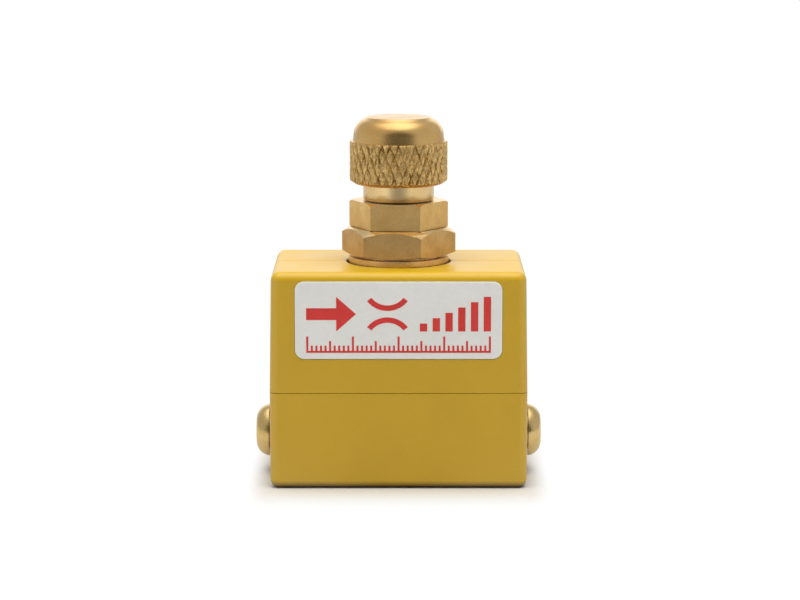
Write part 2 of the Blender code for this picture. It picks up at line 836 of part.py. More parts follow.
def make_release_collar(side, parent):
    """Pressed towards the housing, it spreads the grab ring and frees the tube."""
    bore = TUBE_RADIUS + 0.0001
    barb_back = COLLAR_TAIL_END + 0.0013
    dome_start, dome_end = math.radians(75), math.radians(8)
    profile = [(bore, COLLAR_FACE - 0.0002), (bore + 0.0002, COLLAR_FACE)]
    profile += arc(COLLAR_DOME_CENTRE, COLLAR_DOME_RADIUS, dome_start, dome_end, 5)
    profile += [
        (COLLAR_FLANGE_RADIUS, COLLAR_FLANGE_BACK),
        (COLLAR_TAIL_RADIUS, COLLAR_FLANGE_BACK),
        (COLLAR_TAIL_RADIUS, barb_back),
        (COLLAR_BARB_RADIUS, barb_back),
        (COLLAR_TAIL_RADIUS, COLLAR_TAIL_END),
        (bore, COLLAR_TAIL_END),
    ]
    collar = turned(profile, MEDIUM, closed=True)
    as_part(collar, f"release_collar_{side}", "machined_brass", parent)

    # Two crossed saw cuts split the tail into four springy fingers.
    cut = 0.0004
    reach = COLLAR_FLANGE_RADIUS
    low = COLLAR_TAIL_END - 0.001
    high = COLLAR_FLANGE_BACK - 0.002
    for number, (x, y) in enumerate(((reach, cut), (cut, reach))):
        slot = block((-x, -y, low), (x, y, high))
        boolean(collar, as_cutter(slot, f"collar_slot_{side}_{number}", parent))


def make_grab_ring(side, parent):
    """A flat spring washer whose teeth point at the tube."""
    tooth_count = 8
    tip = TUBE_RADIUS + 0.00015
    root = 0.0042
    thickness = 0.0003
    clear_of_tail = 0.0009
    outline = bpy.data.curves.new("grab_ring", "CURVE")
    outline.dimensions = "2D"
    outline.fill_mode = "BOTH"
    outline.extrude = thickness / 2

    def add_loop(points):
        spline = outline.splines.new("POLY")
        spline.points.add(len(points) - 1)
        for point, (radius, angle) in zip(spline.points, points):
            point.co = (radius * math.cos(angle), radius * math.sin(angle), 0, 1)
        spline.use_cyclic_u = True

    add_loop([(PORT_RING_RADIUS, math.tau * i / COARSE) for i in range(COARSE)])
    pitch = math.tau / tooth_count
    teeth = []
    for tooth in range(tooth_count):
        start = tooth * pitch
        teeth += [(tip, start), (tip, start + 0.5 * pitch)]
        teeth += [(root, start + 0.6 * pitch), (root, start + 0.9 * pitch)]
    add_loop(teeth)
    ring = bpy.data.objects.new("grab_ring", outline)
    bpy.context.scene.collection.objects.link(ring)
    ring.location = (0, 0, COLLAR_TAIL_END - clear_of_tail - thickness / 2)
    as_part(ring, f"grab_ring_{side}", "stainless_steel", parent)


def make_port(side, sign, housing):
    """One push-in port. Local +Z points out of the housing, along the tube."""
    turn = (0, sign * math.pi / 2, 0)
    port = add_empty(f"{side}_port", (0, 0, PORT_HEIGHT), turn, housing)
    press = add_empty(f"{side}_collar_axis", (0, 0, PORT_HEIGHT), turn, housing)
    make_release_collar(side, press)
    make_grab_ring(side, port)

    # The sleeve's outer lip holds the collar's barb in.
    lip_radius = COLLAR_TAIL_RADIUS + GAP
    barb_room = COLLAR_BARB_RADIUS + GAP
    outer_end = 0.0276
    inner_end = 0.0217
    lip_end = inner_end + 0.0030
    sleeve = turned(
        [
            (lip_radius, outer_end),
            (PORT_RING_RADIUS, outer_end),
            (PORT_RING_RADIUS, inner_end),
            (barb_room, inner_end),
            (barb_room, lip_end),
            (lip_radius, lip_end),
        ],
        COARSE,
        closed=True,
    )
    as_part(sleeve, f"port_sleeve_{side}", "machined_brass", port)

    spacer_bottom = 0.0201
    spacer_top = 0.0208
    spacer = washer(TUBE_RADIUS + GAP, PORT_RING_RADIUS, spacer_bottom, spacer_top, COARSE)
    as_part(spacer, f"spacer_ring_{side}", "spacer_plastic", port)

    seal_section = 0.00115
    seal_middle = TUBE_RADIUS + seal_section + 0.00005
    seal_place = spacer_bottom - GAP - seal_section
    seal = o_ring(seal_middle, seal_section, seal_place)
    as_part(seal, f"tube_o_ring_{side}", "seal_rubber", port)


# --------------------------------------------------------------------------------------
# Assembly
# --------------------------------------------------------------------------------------


def build():
    housing = add_empty("housing", (0, 0, 0))
    needle_axis = add_empty("needle_axis", (0, 0, 0), parent=housing)
    knob_axis = add_empty("knob_axis", (0, 0, 0), parent=needle_axis)
    make_valve_body(housing)
    front_cover = make_cover("front_cover", -1, housing)
    make_cover("rear_cover", 1, housing)
    make_label(front_cover, housing)
    make_housing_screws(housing)
    make_bonnet(housing)
    make_packing(housing)
    make_seat(housing)
    make_needle(needle_axis)
    make_stem(knob_axis)
    make_knob(knob_axis)
    make_port("left", -1, housing)
    make_port("right", 1, housing)


clear_scene()
PARTS = new_collection(ASSEMBLY)
CUTTERS = new_collection(f"{ASSEMBLY}_cutters")
MATERIALS = {name: make_material(name) for name in FINISHES}
build()
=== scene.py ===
import json
import math

import bmesh
import bpy
from mathutils import Matrix, Vector, noise

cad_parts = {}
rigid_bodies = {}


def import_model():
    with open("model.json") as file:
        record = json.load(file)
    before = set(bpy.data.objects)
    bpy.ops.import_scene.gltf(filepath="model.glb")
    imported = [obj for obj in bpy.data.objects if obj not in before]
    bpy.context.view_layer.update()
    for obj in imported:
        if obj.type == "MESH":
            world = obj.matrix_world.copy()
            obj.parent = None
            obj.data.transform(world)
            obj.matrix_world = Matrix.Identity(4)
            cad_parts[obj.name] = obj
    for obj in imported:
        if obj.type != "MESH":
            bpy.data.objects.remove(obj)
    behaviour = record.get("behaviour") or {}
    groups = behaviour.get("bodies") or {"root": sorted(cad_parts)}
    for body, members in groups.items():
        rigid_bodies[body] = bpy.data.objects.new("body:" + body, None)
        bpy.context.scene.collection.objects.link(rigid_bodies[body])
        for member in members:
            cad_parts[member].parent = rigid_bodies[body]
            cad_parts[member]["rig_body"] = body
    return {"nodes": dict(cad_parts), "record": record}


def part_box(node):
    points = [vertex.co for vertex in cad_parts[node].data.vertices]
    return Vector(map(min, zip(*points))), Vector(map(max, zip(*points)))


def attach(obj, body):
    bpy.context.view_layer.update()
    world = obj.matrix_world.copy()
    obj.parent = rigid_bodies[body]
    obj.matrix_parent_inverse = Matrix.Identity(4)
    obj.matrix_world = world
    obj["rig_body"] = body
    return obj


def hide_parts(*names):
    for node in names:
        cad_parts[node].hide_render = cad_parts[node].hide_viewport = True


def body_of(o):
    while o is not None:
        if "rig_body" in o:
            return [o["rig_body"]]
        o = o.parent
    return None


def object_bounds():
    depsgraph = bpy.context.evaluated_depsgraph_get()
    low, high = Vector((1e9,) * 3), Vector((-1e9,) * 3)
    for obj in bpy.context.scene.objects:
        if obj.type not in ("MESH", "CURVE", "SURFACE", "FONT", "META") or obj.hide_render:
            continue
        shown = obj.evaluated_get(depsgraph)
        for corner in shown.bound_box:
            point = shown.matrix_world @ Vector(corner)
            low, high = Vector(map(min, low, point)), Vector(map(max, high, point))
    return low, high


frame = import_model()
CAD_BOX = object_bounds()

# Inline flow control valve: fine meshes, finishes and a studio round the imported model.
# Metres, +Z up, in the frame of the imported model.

# Camera, at the height and distance of a product photograph.
CAMERA_PLACE = (0.00031, -0.6079, 0.1395)
CAMERA_PITCH = math.radians(9.4)
CAMERA_LENS = 124.53
SENSOR_WIDTH = 36.0

# Radius left on an edge by a cutting tool, the chamfer of a turned piece, the gap left to see
# at a joint line, the play of a piece in its hole, and how far a cutter reaches past its piece.
TOOL_EDGE = 0.00010
CHAMFER = 0.0004
JOINT_LINE = 0.00010
PLAY = 0.0003
OVERRUN = 0.001

# Flat steps round a turned piece.
FINE = 192
MEDIUM = 96
SMALL = 48

# Housing.
EDGE_RADIUS = 0.0019
EDGE_STEPS = 8
SEAM_EDGE = 0.0003
BLOCK_DRAFT = 0.00006
COVER_DRAFT = 0.00043
WALL = 0.0026
COVER_HOLE_RADIUS = 0.0116
HOLE_CHAMFER = 0.00015
BORE_CHAMFER = 0.0002

# Radius and floor of each step of the block's well, from the top down: the bonnet seal's
# recess, the bonnet's thread, the chamber, the seat's pocket and the sump.
WELL_STEPS = (
    (0.0104, 0.0195),
    (0.0080, 0.0132),
    (0.0046, 0.0109),
    (0.0043, 0.0076),
    (0.0018, 0.0030),
)

# Side, outer height and inner height of the passage from each port to the well.
PASSAGES = ((-1, 0.0079, 0.0044), (1, 0.0106, 0.0121))
PASSAGE_RADIUS = 0.0013
PASSAGE_OVERLAP = 0.0008

# Housing screws.
SCREW_X = 0.0232
SCREW_Y = 0.0133
SHANK_HOLE_RADIUS = 0.0018
HEAD_HOLE_RADIUS = 0.0029
HEAD_HOLE_DEPTH = 0.0034
BOSS_RADIUS = 0.0040
INSERT_HOLE_RADIUS = 0.0026

# Label.
LABEL_CORNER = 0.0020
LABEL_PROUD = 0.00012
LABEL_BORDER = 0.00012
LABEL_GAP = 0.00008
INK_PROUD = 0.00002

# Bonnet. The top of its collar is also the foot of its hex.
BONNET_HEX = 0.0220
BONNET_HEX_TURN = math.radians(-7.3)
BONNET_HEX_TOP = 0.05555
BONNET_CHAMFER_RADIUS = 0.0106
BONNET_CHAMFER_DROP = 0.0014
HEX_FOOT_CHAMFER = 0.00047
BONNET_COLLAR_RADIUS = 0.0111
BONNET_COLLAR_TOP = 0.04957
UNDERCUT_RADIUS = 0.0095
UNDERCUT_HEIGHT = 0.0005
NOSE_RADIUS = 0.0070
NOSE_TOP = 0.0594
FLANGE_RADIUS = 0.0132
FLANGE_HEIGHT = 0.0020
FLANGE_GAP = 0.00015
BARREL_RADIUS = 0.0095
FOOT_RADIUS = 0.0115
FOOT_TOP = 0.02435
FOOT_BOTTOM = 0.02135
BONNET_THREAD_RADIUS = 0.0077
GUIDE_RADIUS = 0.0043
GUIDE_TOP = 0.0443
STUFFING_RADIUS = 0.0051
STUFFING_FLOOR = 0.0515

# Packing nut.
NUT_HEX = 0.0190
NUT_HEX_TURN = math.radians(-4.4)
NUT_CHAMFER_RADIUS = 0.0103
NUT_CHAMFER_DROP = 0.00039
NUT_SINK = 0.0001
NUT_HOLE_RADIUS = 0.0035

# Stem, with its thread and the button that carries the needle.
STEM_RADIUS = 0.0030
STEM_CHAMFER = 0.0003
STEM_THREAD_RADIUS = 0.0040
STEM_THREAD_TOP = 0.0400
STEM_THREAD_BOTTOM = 0.0276
SHOULDER_RADIUS = 0.0034
NECK_RADIUS = 0.0014
NECK_TOP = 0.0213
BUTTON_RADIUS = 0.0019
BUTTON_TOP = 0.0199

# Knob.
HUB_RADIUS = 0.0078
HUB_SINK = 0.00012
HUB_FILLET = 0.0002
KNOB_BORE_RADIUS = 0.00325
KNOB_BORE_TOP = 0.0752
KNURL_RADIUS = 0.0108
KNURL_BOTTOM = 0.0651
KNURL_TOP = 0.0745
KNURL_BEVEL = 0.0002
KNURL_CHAMFER = 0.0008
KNURL_FOOT_RADIUS = 0.0096
KNURL_STARTS = 36
KNURL_ANGLE = math.radians(22.0)
KNURL_DEPTH = 0.00036
KNURL_STEPS = 16
KNURL_GROOVE_SHARE = 0.6
KNURL_FLAW = 0.00018
KNURL_FLAW_COUNT = 20.0
KNURL_FLAW_STRETCH = 0.4
DOME_FLAT_RADIUS = 0.0070
DOME_RIM = 0.0003
DOME_FOOT_RADIUS = 0.0101
DOME_ARC_CENTRE = (0.00615, 0.07587)
DOME_ARC_RADIUS = 0.00377
DOME_ARC_START = math.radians(4.0)
DOME_ARC_END = math.radians(66.0)

# Set screw, and the hole that it lies in, which flares at the hub's surface.
SET_SCREW_RADIUS = 0.0010
SET_SCREW_HEX = 0.0009
SET_SCREW_SOCKET = 0.0012
SCREW_HOLE_RADIUS = 0.0012
SCREW_HOLE_START = 0.0020
SCREW_HOLE_LENGTH = 0.0080
SCREW_HOLE_FLARE = 0.0021

# Ports for 6 mm tube: distances are measured outward from the needle's axis.
PORT_HEIGHT = 0.0094
TUBE_BORE_RADIUS = 0.0032
PORT_BORE_RADIUS = 0.0057
PORT_BORE_FLOOR = 0.0172
TUBE_STOP = 0.0133

# Release collars.
COLLAR_BORE_RADIUS = 0.0031
COLLAR_FACE = 0.03175
COLLAR_FLANGE_BACK = 0.0289
COLLAR_DOME_CENTRE = (0.0026, 0.0286)
COLLAR_DOME_RADIUS = 0.0032
COLLAR_DOME_START = math.radians(75)
COLLAR_DOME_END = math.radians(5.4)
COLLAR_TAIL_RADIUS = 0.00415
COLLAR_TAIL_END = 0.0223
COLLAR_BARB_RADIUS = 0.00465
COLLAR_BARB_LENGTH = 0.0013
COLLAR_SLOT_REACH = 0.0058
COLLAR_SLOT_HALF_WIDTH = 0.0004
COLLAR_SLOT_END = 0.0269


# --------------------------------------------------------------------------------------
# Shader nodes
# --------------------------------------------------------------------------------------


class Finish:
    """A material under construction: one Principled shader and the nodes that feed it."""

    def __init__(self, name, **constants):
        self.material = bpy.data.materials.new(name)
        self.material.use_nodes = True
        self.tree = self.material.node_tree
        self.shader = self.tree.nodes["Principled BSDF"]
        for socket, value in constants.items():
            self.shader.inputs[socket.replace("_", " ")].default_value = value
        self.place = self.add("TexCoord").outputs["Object"]

    def add(self, kind, inputs=None, **settings):
        """A node, with its settings, and with its inputs linked or given a value."""
        node = self.tree.nodes.new(f"ShaderNode{kind}")
        for name, value in settings.items():
            setattr(node, name, value)
        for socket, value in (inputs or {}).items():
            if isinstance(value, bpy.types.NodeSocket):
                self.tree.links.new(value, node.inputs[socket])
            else:
                node.inputs[socket].default_value = value
        return node

    def math(self, operation, *values):
        node = self.add("Math", dict(enumerate(values)), operation=operation)
        return node.outputs[0]

    def stretched(self, scale, place=None):
        """Coordinates scaled along each axis."""
        inputs = {0: place or self.place, 1: scale}
        return self.add("VectorMath", inputs, operation="MULTIPLY").outputs[0]

    def round_axis(self):
        """Coordinates (radius, turn, height) about the local Z axis, for marks left by a lathe."""
        parts = self.add("SeparateXYZ", {0: self.place}).outputs
        radius = self.math(
            "SQRT",
            self.math("ADD", self.math("MULTIPLY", parts[0], parts[0]),
                      self.math("MULTIPLY", parts[1], parts[1])),
        )
        turn = self.math("MULTIPLY", self.math("ARCTAN2", parts[1], parts[0]), 0.001)
        return self.add("CombineXYZ", {0: radius, 1: turn, 2: parts[2]}).outputs[0]

    def noise(self, scale, place=None, detail=3.0, roughness=0.5):
        inputs = {
            "Vector": place or self.place,
            "Scale": scale,
            "Detail": detail,
            "Roughness": roughness,
        }
        return self.add("TexNoise", inputs).outputs["Fac"]

    def ramp(self, factor, low, high, start=0.35, end=0.65):
        """A number from low to high as the factor runs from start to end."""
        inputs = {"Value": factor, "From Min": start, "From Max": end, "To Min": low, "To Max": high}
        return self.add("MapRange", inputs).outputs["Result"]

    def mix(self, factor, first, second):
        """A colour between two others."""
        node = self.add("Mix", data_type="RGBA")
        for socket, value in zip((node.inputs[0], node.inputs[6], node.inputs[7]), (factor, first, second)):
            if isinstance(value, bpy.types.NodeSocket):
                self.tree.links.new(value, socket)
            else:
                socket.default_value = value if isinstance(value, float) else (*value, 1.0)
        return node.outputs[2]

    def bump(self, height, distance, strength=1.0, under=None):
        inputs = {"Height": height, "Distance": distance, "Strength": strength}
        if under:
            inputs["Normal"] = under
        return self.add("Bump", inputs).outputs["Normal"]

    def feed(self, **sockets):
        """Links the shader's sockets."""
        for socket, value in sockets.items():
            self.tree.links.new(value, self.shader.inputs[socket.replace("_", " ")])
        return self.material


def paint():
    """Satin powder coat: a fine orange peel, with slight clouds in its colour, and painted shade darkening
    it towards the foot.
    """
    finish = Finish("yellow_powder_coat", Specular_IOR_Level=0.85)
    clouds = finish.noise(90.0)
    grain = finish.noise(2600.0, detail=2.0)
    base = finish.mix(finish.ramp(clouds, 0.0, 1.0), (0.645, 0.386, 0.003), (0.670, 0.403, 0.005))
    speckled = finish.mix(finish.ramp(grain, 0.0, 0.35, 0.5, 0.8), base, (0.55, 0.31, 0.004))
    peel = finish.bump(finish.noise(1300.0, detail=1.0), 0.000012, 0.5)
    texture = finish.bump(grain, 0.000006, 0.5, peel)
    height = finish.add("SeparateXYZ", {0: finish.place}).outputs[2]
    # Painted shade: the coat darkens to near black over the bottom 1.6 mm, where the block meets the floor.
    foot_painted_shade = finish.mix(finish.ramp(height, 1.0, 0.0, 0.0002, 0.0016), speckled, (0.10, 0.050, 0.002))
    return finish.feed(
        Base_Color=foot_painted_shade, Roughness=finish.ramp(clouds, 0.32, 0.38), Normal=texture
    )


def turned_brass(name, light, dark, rough, marks, grain=1.0):
    """Brass off the lathe: fine rings about the local Z axis, faint tarnish and small pits."""
    finish = Finish(name, Metallic=1.0)
    axis = finish.round_axis()
    rings = finish.noise(9000.0, finish.stretched((1.0, 0.15, 1.0), axis), detail=2.0)
    broad = finish.noise(1500.0, finish.stretched((1.0, 0.05, 1.0), axis), detail=1.0)
    tarnish = finish.noise(160.0, detail=4.0)
    pits = finish.noise(3800.0, detail=2.0)
    tone = finish.math("ADD", finish.math("MULTIPLY", tarnish, 0.7), finish.math("MULTIPLY", pits, 0.3))
    colour = finish.mix(finish.ramp(tone, 0.0, 1.0, 0.38, 0.62), dark, light)
    ring_bump = finish.bump(rings, 0.000006 * marks, 0.7)
    broad_bump = finish.bump(broad, 0.000016 * marks, 0.7, ring_bump)
    pit_bump = finish.bump(pits, 0.000020 * grain, 0.6, broad_bump)
    roughness = finish.ramp(tone, rough + 0.06, rough - 0.04, 0.38, 0.62)
    return finish.feed(Base_Color=colour, Roughness=roughness, Normal=pit_bump)


def milled_brass(name, light, dark):
    """Flats of a hex bar: a fine upright grain."""
    finish = Finish(name, Metallic=1.0)
    upright = finish.stretched((1.0, 1.0, 0.35))
    lines = finish.noise(4200.0, upright, detail=3.0, roughness=0.6)
    pits = finish.noise(2400.0, detail=2.0)
    tarnish = finish.noise(220.0, detail=4.0)
    tone = finish.math("ADD", finish.math("MULTIPLY", tarnish, 0.55), finish.math("MULTIPLY", lines, 0.45))
    colour = finish.mix(finish.ramp(tone, 0.0, 1.0, 0.38, 0.62), dark, light)
    line_bump = finish.bump(lines, 0.000016, 0.6)
    pit_bump = finish.bump(pits, 0.000022, 0.7, line_bump)
    return finish.feed(
        Base_Color=colour, Roughness=finish.ramp(tone, 0.58, 0.50, 0.38, 0.62), Normal=pit_bump
    )


def knurled_brass():
    """The knob's band: painted shade darkens the grooves, streaks of wear mark it, and the crests keep a
    bright brass colour.
    """
    finish = Finish("knurled_brass", Metallic=1.0)
    cavity = finish.add("Attribute", attribute_name="cavity").outputs["Fac"]
    pits = finish.noise(2600.0, detail=3.0, roughness=0.6)
    tears = finish.noise(1700.0, finish.stretched((1.0, 1.0, 0.4)), detail=2.0, roughness=0.6)
    # Painted shade: the depth in a groove darkens the colour. The torn streaks add real wear.
    groove_shade_and_wear = finish.math("ADD", cavity, finish.ramp(tears, -0.60, 0.50))
    bright = finish.mix(finish.ramp(pits, 0.0, 1.0), (0.60, 0.37, 0.115), (0.98, 0.69, 0.285))
    colour = finish.mix(finish.ramp(groove_shade_and_wear, 0.0, 1.0, 0.25, 1.10), bright, (0.43, 0.26, 0.08))
    roughness = finish.ramp(groove_shade_and_wear, 0.36, 0.55, 0.2, 0.9)
    torn = finish.bump(tears, 0.00045, 1.0)
    return finish.feed(
        Base_Color=colour, Roughness=roughness, Normal=finish.bump(pits, 0.00002, 0.6, torn)
    )


def grained(name, light, dark, rough, metallic=0.0, scale=1500.0, depth=0.000006, **constants):
    """A plain material with a fine grain in its colour, roughness and surface."""
    finish = Finish(name, Metallic=metallic, **constants)
    grain = finish.noise(scale, detail=3.0)
    clouds = finish.noise(scale / 9.0, detail=2.0)
    tone = finish.math("ADD", finish.math("MULTIPLY", grain, 0.5), finish.math("MULTIPLY", clouds, 0.5))
    return finish.feed(
        Base_Color=finish.mix(finish.ramp(tone, 0.0, 1.0, 0.38, 0.62), dark, light),
        Roughness=finish.ramp(tone, rough + 0.05, rough - 0.05, 0.38, 0.62),
        Normal=finish.bump(grain, depth, 0.6),
    )


PAINT = paint()
BARE_METAL = grained("bare_aluminium", (0.60, 0.60, 0.59), (0.48, 0.48, 0.47), 0.38, 1.0, 2400.0)
DOME_BRASS = turned_brass("turned_brass", (0.90, 0.60, 0.235), (0.78, 0.47, 0.16), 0.24, 1.2, 0.8)
POLISHED_BRASS = turned_brass("polished_brass", (0.90, 0.67, 0.335), (0.78, 0.545, 0.25), 0.22, 3.0, 1.3)
COLLAR_BRASS = turned_brass("collar_brass", (0.82, 0.60, 0.26), (0.68, 0.48, 0.18), 0.22, 3.0, 1.3)
BONNET_BRASS = turned_brass("bonnet_brass", (0.80, 0.60, 0.345), (0.66, 0.48, 0.27), 0.28, 1.4, 0.9)
BONNET_FLATS = milled_brass("bonnet_flats", (0.78, 0.535, 0.23), (0.63, 0.415, 0.165))
NUT_FLATS = milled_brass("nut_flats", (0.96, 0.67, 0.275), (0.81, 0.54, 0.20))
KNURL_BRASS = knurled_brass()
STEEL = grained("stainless_steel", (0.62, 0.62, 0.61), (0.52, 0.52, 0.52), 0.25, 1.0, 3000.0)
ZINC = grained("zinc_plate", (0.60, 0.61, 0.63), (0.46, 0.47, 0.50), 0.36, 1.0, 1800.0)
FILM = grained("label_film", (0.895, 0.885, 0.835), (0.855, 0.845, 0.795), 0.34, 0.0, 900.0, 0.000003)
FILM_RIM_HIGHLIGHT = grained("film_rim_painted_highlight", (1.0, 0.97, 0.86), (0.94, 0.91, 0.80), 0.30, 0.0, 900.0, 0.000003)
INK = grained("red_ink", (0.78, 0.050, 0.040), (0.68, 0.038, 0.030), 0.38, 0.0, 2200.0, 0.000003)
PTFE = grained("white_fluoropolymer", (0.80, 0.80, 0.77), (0.74, 0.74, 0.70), 0.50)
GREY_PLASTIC = grained("grey_plastic", (0.07, 0.07, 0.075), (0.05, 0.05, 0.055), 0.50)
RUBBER = grained("black_rubber", (0.020, 0.020, 0.020), (0.012, 0.012, 0.012), 0.60, 0.0, 1900.0)

FINISH_OF_SLOT = {
    "housing_paint": PAINT,
    "machined_brass": POLISHED_BRASS,
    "knurled_brass": KNURL_BRASS,
    "stainless_steel": STEEL,
    "zinc_steel": ZINC,
    "label_film": FILM,
    "packing_polymer": PTFE,
    "spacer_plastic": GREY_PLASTIC,
    "seal_rubber": RUBBER,
}
SLOT_OF_NODE = {part["node"]: part["material_slot"] for part in frame["record"]["subparts"]}


# --------------------------------------------------------------------------------------
# Shapes
# --------------------------------------------------------------------------------------


def as_object(shape, name, *materials):
    """Turns a bmesh into an object."""
    bmesh.ops.recalc_face_normals(shape, faces=shape.faces)
    mesh = bpy.data.meshes.new(name)
    shape.to_mesh(mesh)
    shape.free()
    obj = bpy.data.objects.new(name, mesh)
    bpy.context.scene.collection.objects.link(obj)
    for material in materials:
        mesh.materials.append(material)
    return obj


def rounded(profile, radius=TOOL_EDGE, steps=3, closed=False):
    """A profile of (radius, height) points with each corner replaced by a small arc. A point
    may give its corner's own radius as a third number."""
    count = len(profile)
    result = []
    for i, point in enumerate(profile):
        corner = Vector(point[:2])
        own = point[2] if len(point) > 2 else radius
        if own == 0 or (not closed and i in (0, count - 1)):
            result.append(tuple(corner))
            continue
        back = Vector(profile[i - 1][:2]) - corner
        on = Vector(profile[(i + 1) % count][:2]) - corner
        half = back.angle(on) / 2
        if half > math.radians(86):
            result.append(tuple(corner))
            continue
        reach = min(own / math.tan(half), 0.45 * back.length, 0.45 * on.length)
        arc_radius = reach * math.tan(half)
        first = corner + back.normalized() * reach
        last = corner + on.normalized() * reach
        middle = (back.normalized() + on.normalized()).normalized()
        centre = corner + middle * (arc_radius / math.sin(half))
        sweep = (first - centre).angle_signed(last - centre)
        for step in range(steps + 1):
            turn = Matrix.Rotation(-sweep * step / steps, 2)
            result.append(tuple(centre + turn @ (first - centre)))
    return result


def arc(centre, radius, start, end, steps):
    """Points of an arc in the (radius, height) plane. Angles run up from the radius axis."""
    angles = [start + (end - start) * i / steps for i in range(steps + 1)]
    return [
        (centre[0] + radius * math.cos(angle), centre[1] + radius * math.sin(angle), 0)
        for angle in angles
    ]


def turned(name, profile, steps, *materials, closed=False):
    """A profile of (radius, height) points, spun about Z."""
    shape = bmesh.new()
    points = [shape.verts.new((point[0], 0.0, point[1])) for point in profile]
    edges = [shape.edges.new(pair) for pair in zip(points, points[1:])]
    if closed:
        edges.append(shape.edges.new((points[-1], points[0])))
    bmesh.ops.spin(
        shape,
        geom=points + edges,
        cent=(0, 0, 0),
        axis=(0, 0, 1),
        dvec=(0, 0, 0),
        angle=math.tau,
        steps=steps,
        use_merge=True,
    )
    bmesh.ops.remove_doubles(shape, verts=shape.verts, dist=1e-7)
    return as_object(shape, name, *materials)


def plate(outline, front, back):
    """A bmesh solid on a closed (x, z) outline, between two depths along Y."""
    shape = bmesh.new()
    face = shape.faces.new([shape.verts.new((x, front, z)) for x, z in outline])
    pushed = bmesh.ops.extrude_face_region(shape, geom=[face])["geom"]
    backs = [item for item in pushed if isinstance(item, bmesh.types.BMVert)]
    bmesh.ops.translate(shape, verts=backs, vec=(0, back - front, 0))
    return shape


def rounded_rectangle(width, height, corner, centre_height, steps=10):
    """The (x, z) outline of a plate that is centred in X."""
    outline = []
    for quarter, (along, up) in enumerate(((1, 1), (-1, 1), (-1, -1), (1, -1))):
        for step in range(steps + 1):
            angle = math.pi / 2 * (quarter + step / steps)
            outline.append((
                along * (width / 2 - corner) + corner * math.cos(angle),
                centre_height + up * (height / 2 - corner) + corner * math.sin(angle),
            ))
    return outline


def aimed(start, along):
    """A placement at start, with local Z along a direction."""
    turn = Vector(along).to_track_quat("Z", "Y").to_matrix().to_4x4()
    return Matrix.Translation(start) @ turn


def rod(name, profile, steps, material, start, end):
    """A turned piece whose local Z runs from one point towards another."""
    obj = turned(name, profile, steps, material)
    obj.matrix_world = aimed(start, Vector(end) - Vector(start))
    return obj


def drill(name, radius, start, end, material, steps=SMALL):
    """A plain round cutter between two points."""
    length = (Vector(end) - Vector(start)).length
    profile = [(0, length), (radius, length), (radius, 0), (0, 0)]
    return rod(name, profile, steps, material, start, end)


def hexagon(across_flats, turn, corner_radius=0.00012, steps=3):
    """The outline of a hex bar with flats on +Y and -Y, before it is turned by turn."""
    inner = (across_flats / 2 - corner_radius) / math.cos(math.pi / 6)
    outline = []
    for corner in range(6):
        middle = turn + corner * math.pi / 3
        for step in range(steps + 1):
            angle = middle + math.pi / 3 * (step / steps - 0.5)
            outline.append((
                inner * math.cos(middle) + corner_radius * math.cos(angle),
                inner * math.sin(middle) + corner_radius * math.sin(angle),
            ))
    return outline


def sleeve(name, outline, bottom, top, material):
    """A thick tube with the outline inside, which trims a turned blank to that outline."""
    shape = bmesh.new()
    loops = [
        [shape.verts.new((x * scale, y * scale, height)) for x, y in outline]
        for scale, height in ((1, bottom), (1, top), (1.6, top), (1.6, bottom))
    ]
    for loop, following in zip(loops, loops[1:] + loops[:1]):
        for i in range(len(outline)):
            shape.faces.new((loop[i - 1], loop[i], following[i], following[i - 1]))
    return as_object(shape, name, material)


def box(low, high):
    """A bmesh cuboid between two corners."""
    low = Vector(low)
    high = Vector(high)
    shape = bmesh.new()
    placed = Matrix.Translation((low + high) / 2) @ Matrix.Diagonal((*(high - low), 1))
    bmesh.ops.create_cube(shape, size=1.0, matrix=placed)
    return shape


def round_edges(shape, chosen, radius, steps):
    """Rounds the edges that satisfy chosen."""
    edges = [edge for edge in shape.edges if chosen(edge)]
    bmesh.ops.bevel(shape, geom=edges, offset=radius, segments=steps, profile=0.5, affect="EDGES")


def pull_in_sides(shape, height, inset):
    """Draws in the two X faces of a box by inset at one height."""
    for vertex in shape.verts:
        if math.isclose(vertex.co.z, height, abs_tol=1e-6):
            vertex.co.x -= math.copysign(inset, vertex.co.x)


def settle(obj):
    """Replaces an object's mesh by the result of its modifiers."""
    graph = bpy.context.evaluated_depsgraph_get()
    mesh = bpy.data.meshes.new_from_object(obj.evaluated_get(graph), depsgraph=graph)
    old = obj.data
    obj.modifiers.clear()
    obj.data = mesh
    bpy.data.meshes.remove(old)


def cut(obj, *tools):
    """Cuts obj with each tool. The cut faces keep the tool's material."""
    bpy.context.view_layer.update()
    for tool in tools:
        modifier = obj.modifiers.new(tool.name, "BOOLEAN")
        modifier.operation = "DIFFERENCE"
        modifier.solver = "EXACT"
        modifier.material_mode = "TRANSFER"
        modifier.object = tool
    settle(obj)
    for tool in tools:
        bpy.data.objects.remove(tool, do_unlink=True)


def smooth(obj, angle=32):
    """Smooth shading that keeps flats flat and true edges crisp."""
    obj.data.shade_smooth()
    obj.data.set_sharp_from_angle(angle=math.radians(angle))
    weighting = obj.modifiers.new("weighted normals", "WEIGHTED_NORMAL")
    weighting.keep_sharp = True


def stand_for(obj, node):
    """Names a fine piece after its CAD node, hides that node, and rides on its body."""
    obj.name = f"{node}_fine"
    obj.data.name = obj.name
    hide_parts(node)
    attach(obj, body_of(frame["nodes"][node])[0])
    return obj



# --------------------------------------------------------------------------------------
# Housing
# --------------------------------------------------------------------------------------


def seam_height():
    return (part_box("valve_body")[1].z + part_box("front_cover")[0].z) / 2


def round_rims(shape, facing, radius=TOOL_EDGE):
    """Takes the sharpness off the rims of the flat faces that look along facing."""
    facing = Vector(facing)
    shape.normal_update()
    faces = [face for face in shape.faces if face.normal.dot(facing) > 0.9999]
    widest = max(faces, key=lambda face: face.calc_area())
    rim = set(widest.edges)
    round_edges(shape, lambda edge: edge in rim, radius, 3)


